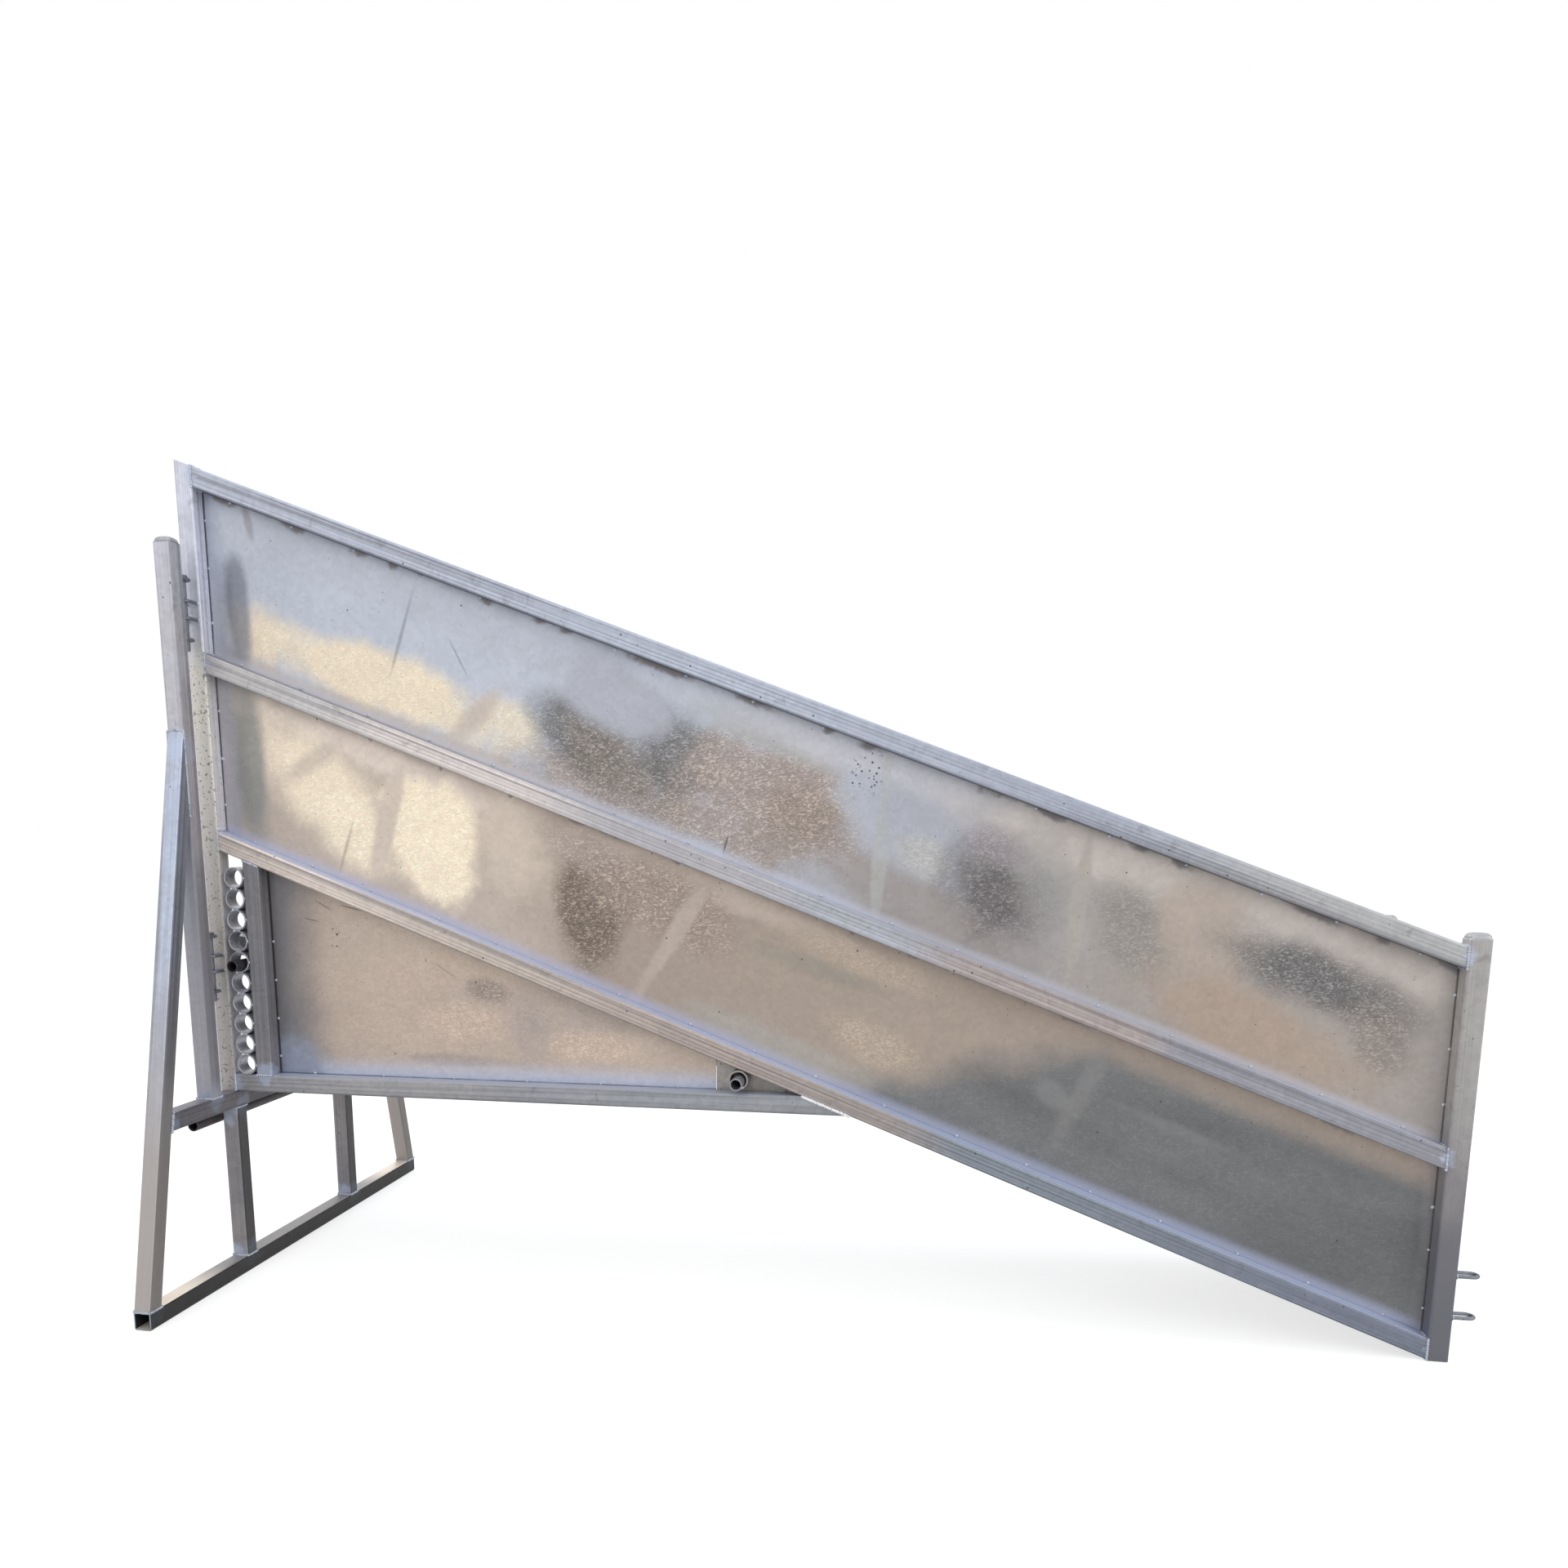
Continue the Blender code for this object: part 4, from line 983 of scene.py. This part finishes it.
for name, material, body, slot in (
    ("support_bar", bar_steel, "support_bar", "bar_steel"),
    ("pivot_pipe", pipe_steel, "root", "pipe_steel"),
    ("tie_pipe", bar_steel, "root", "bar_steel"),
):
    low, high, middle = extent(name)
    outer = (high.z - low.z) / 2
    mesh = bmesh.new()
    add_pipe(mesh, name, middle, outer, outer - PIPE_WALL)
    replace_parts(piece(name + "_turned", mesh, material, body), name)

LOOP_SIDES = 20
LOOP_BENDS = 24
LOOP_LEG_STEPS = 4
LOOP_WELD = 1.45
LOOP_WELD_FLAT = 0.45
LOOP_WELD_OUT = 0.001


def add_loop(mesh, node, out):
    """Bent rod in the place of a plain loop: two legs and a half turn."""
    low, high, middle = extent(node)
    radius = (high.z - low.z) / 2
    across = Z_AXIS.cross(out)
    spread = abs((high - low).dot(across)) / 2 - radius
    reach = abs((high - low).dot(out))
    foot = middle - out * reach / 2
    eye = foot + out * (reach - spread - radius)
    leg = [(eye - foot) * step / LOOP_LEG_STEPS for step in range(LOOP_LEG_STEPS)]
    points = [foot + across * spread + step for step in leg]
    for step in range(LOOP_BENDS + 1):
        angle = math.pi * step / LOOP_BENDS
        points.append(eye + (across * math.cos(angle) + out * math.sin(angle)) * spread)
    points += [foot - across * spread + step for step in leg[::-1]]
    add_sweep(mesh, points, [radius] * len(points), LOOP_SIDES)
    return foot, across * spread, radius


blobs = bmesh.new()
loops = []
for side, sign in SIDES:
    outward = Y_AXIS * sign
    for kind, count, out in (("chute", 4, outward), ("post", 4, -outward), ("entry", 2, X_AXIS)):
        loops += [(f"{kind}_loop_{side}_{index + 1}", out) for index in range(count)]
for name, out in loops:
    rod = bmesh.new()
    foot, spread, radius = add_loop(rod, name, out)
    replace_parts(piece(name + "_rod", rod, rod_steel), name)
    for leg in (spread, -spread):
        where = foot + leg + out * LOOP_WELD_OUT
        add_blob(blobs, where, radius * LOOP_WELD, LOOP_WELD_FLAT, out)
piece("loop_welds", blobs, weld_steel)

PIN = 0.012
PIN_HEAD_HEIGHT = 0.005
HEAD_ROUND = 0.0012
PIN_CENTRE = 0.0006
NOSE_IN = 0.002
NOSE_RISE = 0.003
PIN_SIDES = 40
for side, sign in SIDES:
    for level in ("upper", "lower"):
        name = f"drop_pin_{side}_{level}"
        low, high, middle = extent(name)
        head = (high.x - low.x) / 2
        shaft = PIN / 2
        shoulder = high.z - PIN_HEAD_HEIGHT
        profile = [(PIN_CENTRE, low.z), (shaft - NOSE_IN, low.z), (shaft, low.z + NOSE_RISE)]
        profile += [(shaft, shoulder), (head - HEAD_ROUND, shoulder), (head, shoulder + HEAD_ROUND)]
        profile += [(head, high.z - HEAD_ROUND), (head - HEAD_ROUND, high.z), (PIN_CENTRE, high.z)]
        pin = bmesh.new()
        rings = []
        for radius, z in profile:
            where = Vector((middle.x, middle.y, z))
            rings.append(ring_of(pin, where, X_AXIS, Y_AXIS, radius, PIN_SIDES))
        bridge(pin, rings)
        close_ends(pin, rings)
        body = f"pin_{side}_{level}"
        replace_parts(piece(name + "_turned", pin, rod_steel, body), name)

paint(round_finish("bracket_steel", (0.34, 0.32, 0.3), 0.4, 0.5, 0.3), *both("pivot_bracket"))

# Pressed caps on the tubes that end in the open
CAP_ROUND = 0.0085
CAP_RISE = 0.01
CAP_LAP = 0.001
CAP_INSET = 0.0006
CAP_RIM_STEPS = 5
CAP_CORNER_STEPS = 6


def add_cap(mesh, centre, half):
    """Square cap with rounded corners and a rounded rim, on top of a tube."""
    rings = []
    for step in range(CAP_RIM_STEPS + 1):
        angle = math.pi / 2 * step / CAP_RIM_STEPS
        straight = half - CAP_ROUND * (2 - math.cos(angle))
        z = centre.z + CAP_RISE * math.sin(angle)
        ring = []
        for corner, (x_side, y_side) in enumerate(((1, 1), (-1, 1), (-1, -1), (1, -1))):
            for part in range(CAP_CORNER_STEPS + 1):
                turn = math.pi / 2 * (corner + part / CAP_CORNER_STEPS)
                x = x_side * straight + CAP_ROUND * math.cos(turn)
                y = y_side * straight + CAP_ROUND * math.sin(turn)
                ring.append(mesh.verts.new((centre.x + x, centre.y + y, z)))
        rings.append(ring)
    bridge(mesh, rings)
    close_ends(mesh, rings)


cap_steel = round_finish("cap_steel", (0.42, 0.425, 0.44), 0.4, 0.45, 0.2)
for side, sign in SIDES:
    caps = bmesh.new()
    for tube in ("post_", "entry_upright_"):
        low, high, middle = extent(tube + side)
        middle.z = high.z - CAP_LAP
        add_cap(caps, middle, (high.x - low.x) / 2 - CAP_INSET)
    piece("caps_" + side, caps, cap_steel)

# Weld beads on the two side frames, and the small gusset at each wedge tip
GUSSET_THICK = 0.0016
INSET = 0.001
for side, sign in SIDES:
    beads = bmesh.new()
    face = sign * HALF
    inner = sign * (HALF - TUBE)
    for rail in ("top_rail_", "mid_rail_", "floor_rail_"):
        for right in (False, True):
            top = end_point(rail + side, right, True)
            low = end_point(rail + side, right, False)
            turns = ((top, inner), (top, face), (low, face), (low, inner))
            add_bead(beads, [Vector((where.x, y, where.z)) for where, y in turns])
    rail = "wedge_rail_" + side
    top = end_point(rail, False, True)
    low = end_point(rail, False, False)
    corners = ((top.x, inner, top.z), (top.x, face, top.z), (low.x, face, low.z))
    add_bead(beads, [Vector(corner) for corner in corners])
    tip = end_point(rail, True, False)
    box_low, box_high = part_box(rail)
    rise = box_high.z - box_low.z
    heel = Vector((tip.x - rise / math.tan(SLOPE), face, box_high.z))
    mitre = bmesh.new()
    add_bead(mitre, [heel, Vector((tip.x, face, tip.z))], BROAD_BEAD)
    piece("mitre_weld_" + side, mitre, bright_weld)
    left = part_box("pivot_bracket_" + side)[1].x - INSET
    rest = box_high.z - INSET
    floor_low = end_point("floor_rail_" + side, False, False)
    line = floor_low.z - (left - floor_low.x) * math.tan(SLOPE) + INSET
    flat = [Vector((left, 0, rest)), Vector((heel.x, 0, rest)), Vector((left, 0, line))]
    filler = bmesh.new()
    rings = []
    for y in (sign * SHEET_FACE, sign * (SHEET_FACE + GUSSET_THICK)):
        rings.append([filler.verts.new((where.x, y, where.z)) for where in flat])
    bridge(filler, rings)
    close_ends(filler, rings)
    bmesh.ops.recalc_face_normals(filler, faces=filler.faces)
    piece("tip_gusset_" + side, filler, gusset_steel, smooth=False)
    post = "wedge_post_" + side
    left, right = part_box(post)
    post_heads = (end_point(post, False, True), end_point(post, True, True))
    add_bead(beads, [Vector((where.x, face, where.z)) for where in post_heads])
    add_bead(beads, [Vector((left.x, face, left.z)), Vector((right.x, face, left.z))])
    piece("frame_welds_" + side, beads, weld_steel)

# Weld beads on the stand
HALF_TUBE = TUBE / 2
AROUND = ((-1, -1), (1, -1), (1, 1), (-1, 1), (-1, -1))
beads = bmesh.new()


def foot_bead(x, y, z, half_y=HALF_TUBE, radius=THICK_BEAD):
    """Bead round the end of a tube that stands on another."""
    corners = [Vector((x + right * HALF_TUBE, y + ahead * half_y, z)) for right, ahead in AROUND]
    add_bead(beads, corners, radius)


def side_bead(lower, upper, radius=BEAD):
    """Bead round a tube that meets the side of another, between two places along Y and Z."""
    corners = []
    for right, down in AROUND:
        y, z = lower if down > 0 else upper
        corners.append(Vector((stand_x + right * HALF_TUBE, y, z)))
    add_bead(beads, corners, radius)


for side, sign in SIDES:
    low, high, middle = extent("inner_leg_" + side)
    foot_bead(middle.x, middle.y, low.z)
    foot_bead(middle.x, middle.y, high.z, radius=BEAD)
    low, high, middle = extent("post_" + side)
    foot_bead(middle.x, middle.y, low.z)
    leaning = [v.co for v in nodes["outrigger_" + side].data.vertices]
    foot_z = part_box("outrigger_" + side)[0].z
    spread = [co.y for co in leaning if co.z < foot_z + TOUCH]
    width = max(spread) - min(spread)
    foot_bead(stand_x, (max(spread) + min(spread)) / 2, foot_z, width / 2)
    post_face = sign * max(abs(low.y), abs(high.y))
    heights = [co.z for co in leaning if abs(co.y - post_face) < TOUCH]
    side_bead((post_face, min(heights)), (post_face, max(heights)))
    low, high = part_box("cross_tube")
    ends = [v.co for v in nodes["cross_tube"].data.vertices if v.co.y * sign > 0]
    outer_low = sign * max(abs(co.y) for co in ends if co.z < low.z + TOUCH)
    outer_top = sign * max(abs(co.y) for co in ends if co.z > high.z - TOUCH)
    side_bead((outer_low, low.z), (outer_top, high.z), BROAD_BEAD)
piece("stand_welds", beads, weld_steel)

# Tack welds that hold the sheets: along the rails and uprights, at the inner corner
RAIL_TACK_PITCH = 0.152
RAIL_TACK_DRIFT = 0.08
RAIL_TACK_SIZES = (0.003, 0.0046)
UPRIGHT_TACK_PITCH = 0.105
UPRIGHT_TACK_DRIFT = 0.15
UPRIGHT_TACK_SIZES = (0.0028, 0.0042)
POST_TACK_PITCH = 0.09
POST_TACKS = 4
POST_TACK_START = 0.04
TACK = 0.0036
TACK_OFF = 0.002
OVER_RAILS = (("mid_rail_", True), ("floor_rail_", True))
UNDER_RAILS = (("mid_rail_", False), ("top_rail_", False))
for side, sign in SIDES:
    tacks = bmesh.new()
    under = bmesh.new()
    face = sign * SHEET_FACE
    for rail, top in OVER_RAILS + UNDER_RAILS:
        start = end_point(rail + side, False, top)
        finish = end_point(rail + side, True, top)
        lift = SLOPE_UP if top else -SLOPE_UP
        count = int((finish - start).length / RAIL_TACK_PITCH)
        for index in range(count):
            drift = dice.uniform(-RAIL_TACK_DRIFT, RAIL_TACK_DRIFT)
            where = start.lerp(finish, (index + 0.5 + drift) / count)
            where.y = face
            size = dice.uniform(*RAIL_TACK_SIZES)
            add_blob(tacks if top else under, where + lift * size * 0.5, size, TACK_FLAT)
    for post, right, reach in (("truck_upright_", False, 1), ("entry_upright_", True, -1)):
        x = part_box(post + side)[0 if right else 1].x
        bottom = end_point("floor_rail_" + side, right, True).z
        top = end_point("top_rail_" + side, right, False).z
        count = int((top - bottom) / UPRIGHT_TACK_PITCH)
        for index in range(count):
            drift = dice.uniform(-UPRIGHT_TACK_DRIFT, UPRIGHT_TACK_DRIFT)
            z = bottom + (top - bottom) * (index + 0.5 + drift) / count
            size = dice.uniform(*UPRIGHT_TACK_SIZES)
            add_blob(tacks, Vector((x + reach * size * 0.5, face, z)), size, TACK_FLAT)
    sheet_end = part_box("wedge_sheet_" + side)[1].x
    rail_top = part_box("wedge_rail_" + side)[1].z
    post_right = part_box("wedge_post_" + side)[1].x
    count = int((sheet_end - post_right) / RAIL_TACK_PITCH)
    for index in range(count):
        x = post_right + (sheet_end - post_right) * (index + 0.5) / count
        add_blob(tacks, Vector((x, face, rail_top + TACK_OFF)), TACK, TACK_FLAT)
    for index in range(POST_TACKS):
        z = rail_top + POST_TACK_START + index * POST_TACK_PITCH
        add_blob(tacks, Vector((post_right + TACK_OFF, face, z)), TACK, TACK_FLAT)
    piece("sheet_tacks_" + side, tacks, pale_weld)
    piece("under_tacks_" + side, under, weld_steel)

# The tack on each side that holds the pivot pipe in its sleeve
PIVOT_TACK = 0.0042
PIVOT_TACK_OUT = 0.0025
PIVOT_TACK_RIGHT = 0.65
PIVOT_TACK_DOWN = 0.78
low, high, middle = extent("pivot_pipe")
radius = (high.z - low.z) / 2
for side, sign in SIDES:
    mesh = bmesh.new()
    x = middle.x + radius * PIVOT_TACK_RIGHT
    z = middle.z - radius * PIVOT_TACK_DOWN
    add_blob(mesh, Vector((x, sign * (HALF + PIVOT_TACK_OUT), z)), PIVOT_TACK, WELD_FLAT)
    piece("pivot_tack_" + side, mesh, weld_steel)

# Studio: pale floor, white all round for what the camera and gloss see, plain soft lamps
SEEN_WHITE = 1.0
WORLD_COLOUR = (0.94, 0.97, 1.0)
WORLD_LIGHT = 0.72
FLOOR_TINT = (0.5, 0.5, 0.5)
FLOOR_ROUGHNESS = 0.9
FLOOR_LIFT = 0.66
FLOOR_HALF = 30


def seen_directly(tree):
    """1 for camera, gloss and transmission rays."""
    path = add_node(tree, "LightPath").outputs
    total = path["Is Camera Ray"]
    for name in ("Is Glossy Ray", "Is Transmission Ray"):
        total = add_node(tree, "Math", {0: total, 1: path[name]}, operation="MAXIMUM").outputs[0]
    return total


world = bpy.data.worlds.new("studio")
bpy.context.scene.world = world
world.use_nodes = True
tree = world.node_tree
light = tree.nodes["Background"]
light.inputs["Color"].default_value = (*WORLD_COLOUR, 1)
light.inputs["Strength"].default_value = WORLD_LIGHT
white = add_node(tree, "Background", {"Color": (1, 1, 1, 1), "Strength": SEEN_WHITE})
shaders = {0: seen_directly(tree), 1: light.outputs[0], 2: white.outputs[0]}
chosen = add_node(tree, "MixShader", shaders).outputs[0]
tree.links.new(chosen, tree.nodes["World Output"].inputs["Surface"])

floor_mesh = bmesh.new()
bmesh.ops.create_grid(floor_mesh, x_segments=2, y_segments=2, size=FLOOR_HALF)
floor_data = bpy.data.meshes.new("studio_floor")
floor_mesh.to_mesh(floor_data)
floor_mesh.free()
add_item("studio_floor", floor_data)
floor_paint = bpy.data.materials.new("studio_floor")
floor_paint.use_nodes = True
floor_data.materials.append(floor_paint)
tree = floor_paint.node_tree
shader = tree.nodes["Principled BSDF"]
shader.inputs["Base Color"].default_value = (*FLOOR_TINT, 1)
shader.inputs["Roughness"].default_value = FLOOR_ROUGHNESS
shader.inputs["Specular IOR Level"].default_value = 0.0
strength = add_node(tree, "Math", {0: seen_directly(tree), 1: FLOOR_LIFT}, operation="MULTIPLY")
lift = add_node(tree, "Emission", {"Strength": strength.outputs[0]})
lifted = add_node(tree, "AddShader", {0: shader.outputs[0], 1: lift.outputs[0]})
tree.links.new(lifted.outputs[0], tree.nodes["Material Output"].inputs["Surface"])


target = (cad_box[0] + cad_box[1]) / 2


def lamp(name, where, power, size, colour):
    """Square soft lamp that looks at the ramp's middle."""
    data = bpy.data.lights.new(name, "AREA")
    data.energy = power
    data.size = size
    data.color = colour
    item = add_item(name, data)
    item.location = where
    item.rotation_euler = (target - where).to_track_quat("-Z", "Y").to_euler()
    item.visible_camera = False


lamp("key", Vector((-1.4, -5.0, 4.2)), 80, 4.5, (1.0, 0.98, 0.96))
lamp("side", Vector((4.5, -2.5, 2.5)), 70, 3.5, (1.0, 0.99, 0.98))
lamp("sky", Vector((0.0, 0.6, 5.5)), 70, 4.5, (0.9, 0.95, 1.0))
lamp("back", Vector((-1.5, 5.0, 3.0)), 80, 4.0, (1.0, 1.0, 1.0))
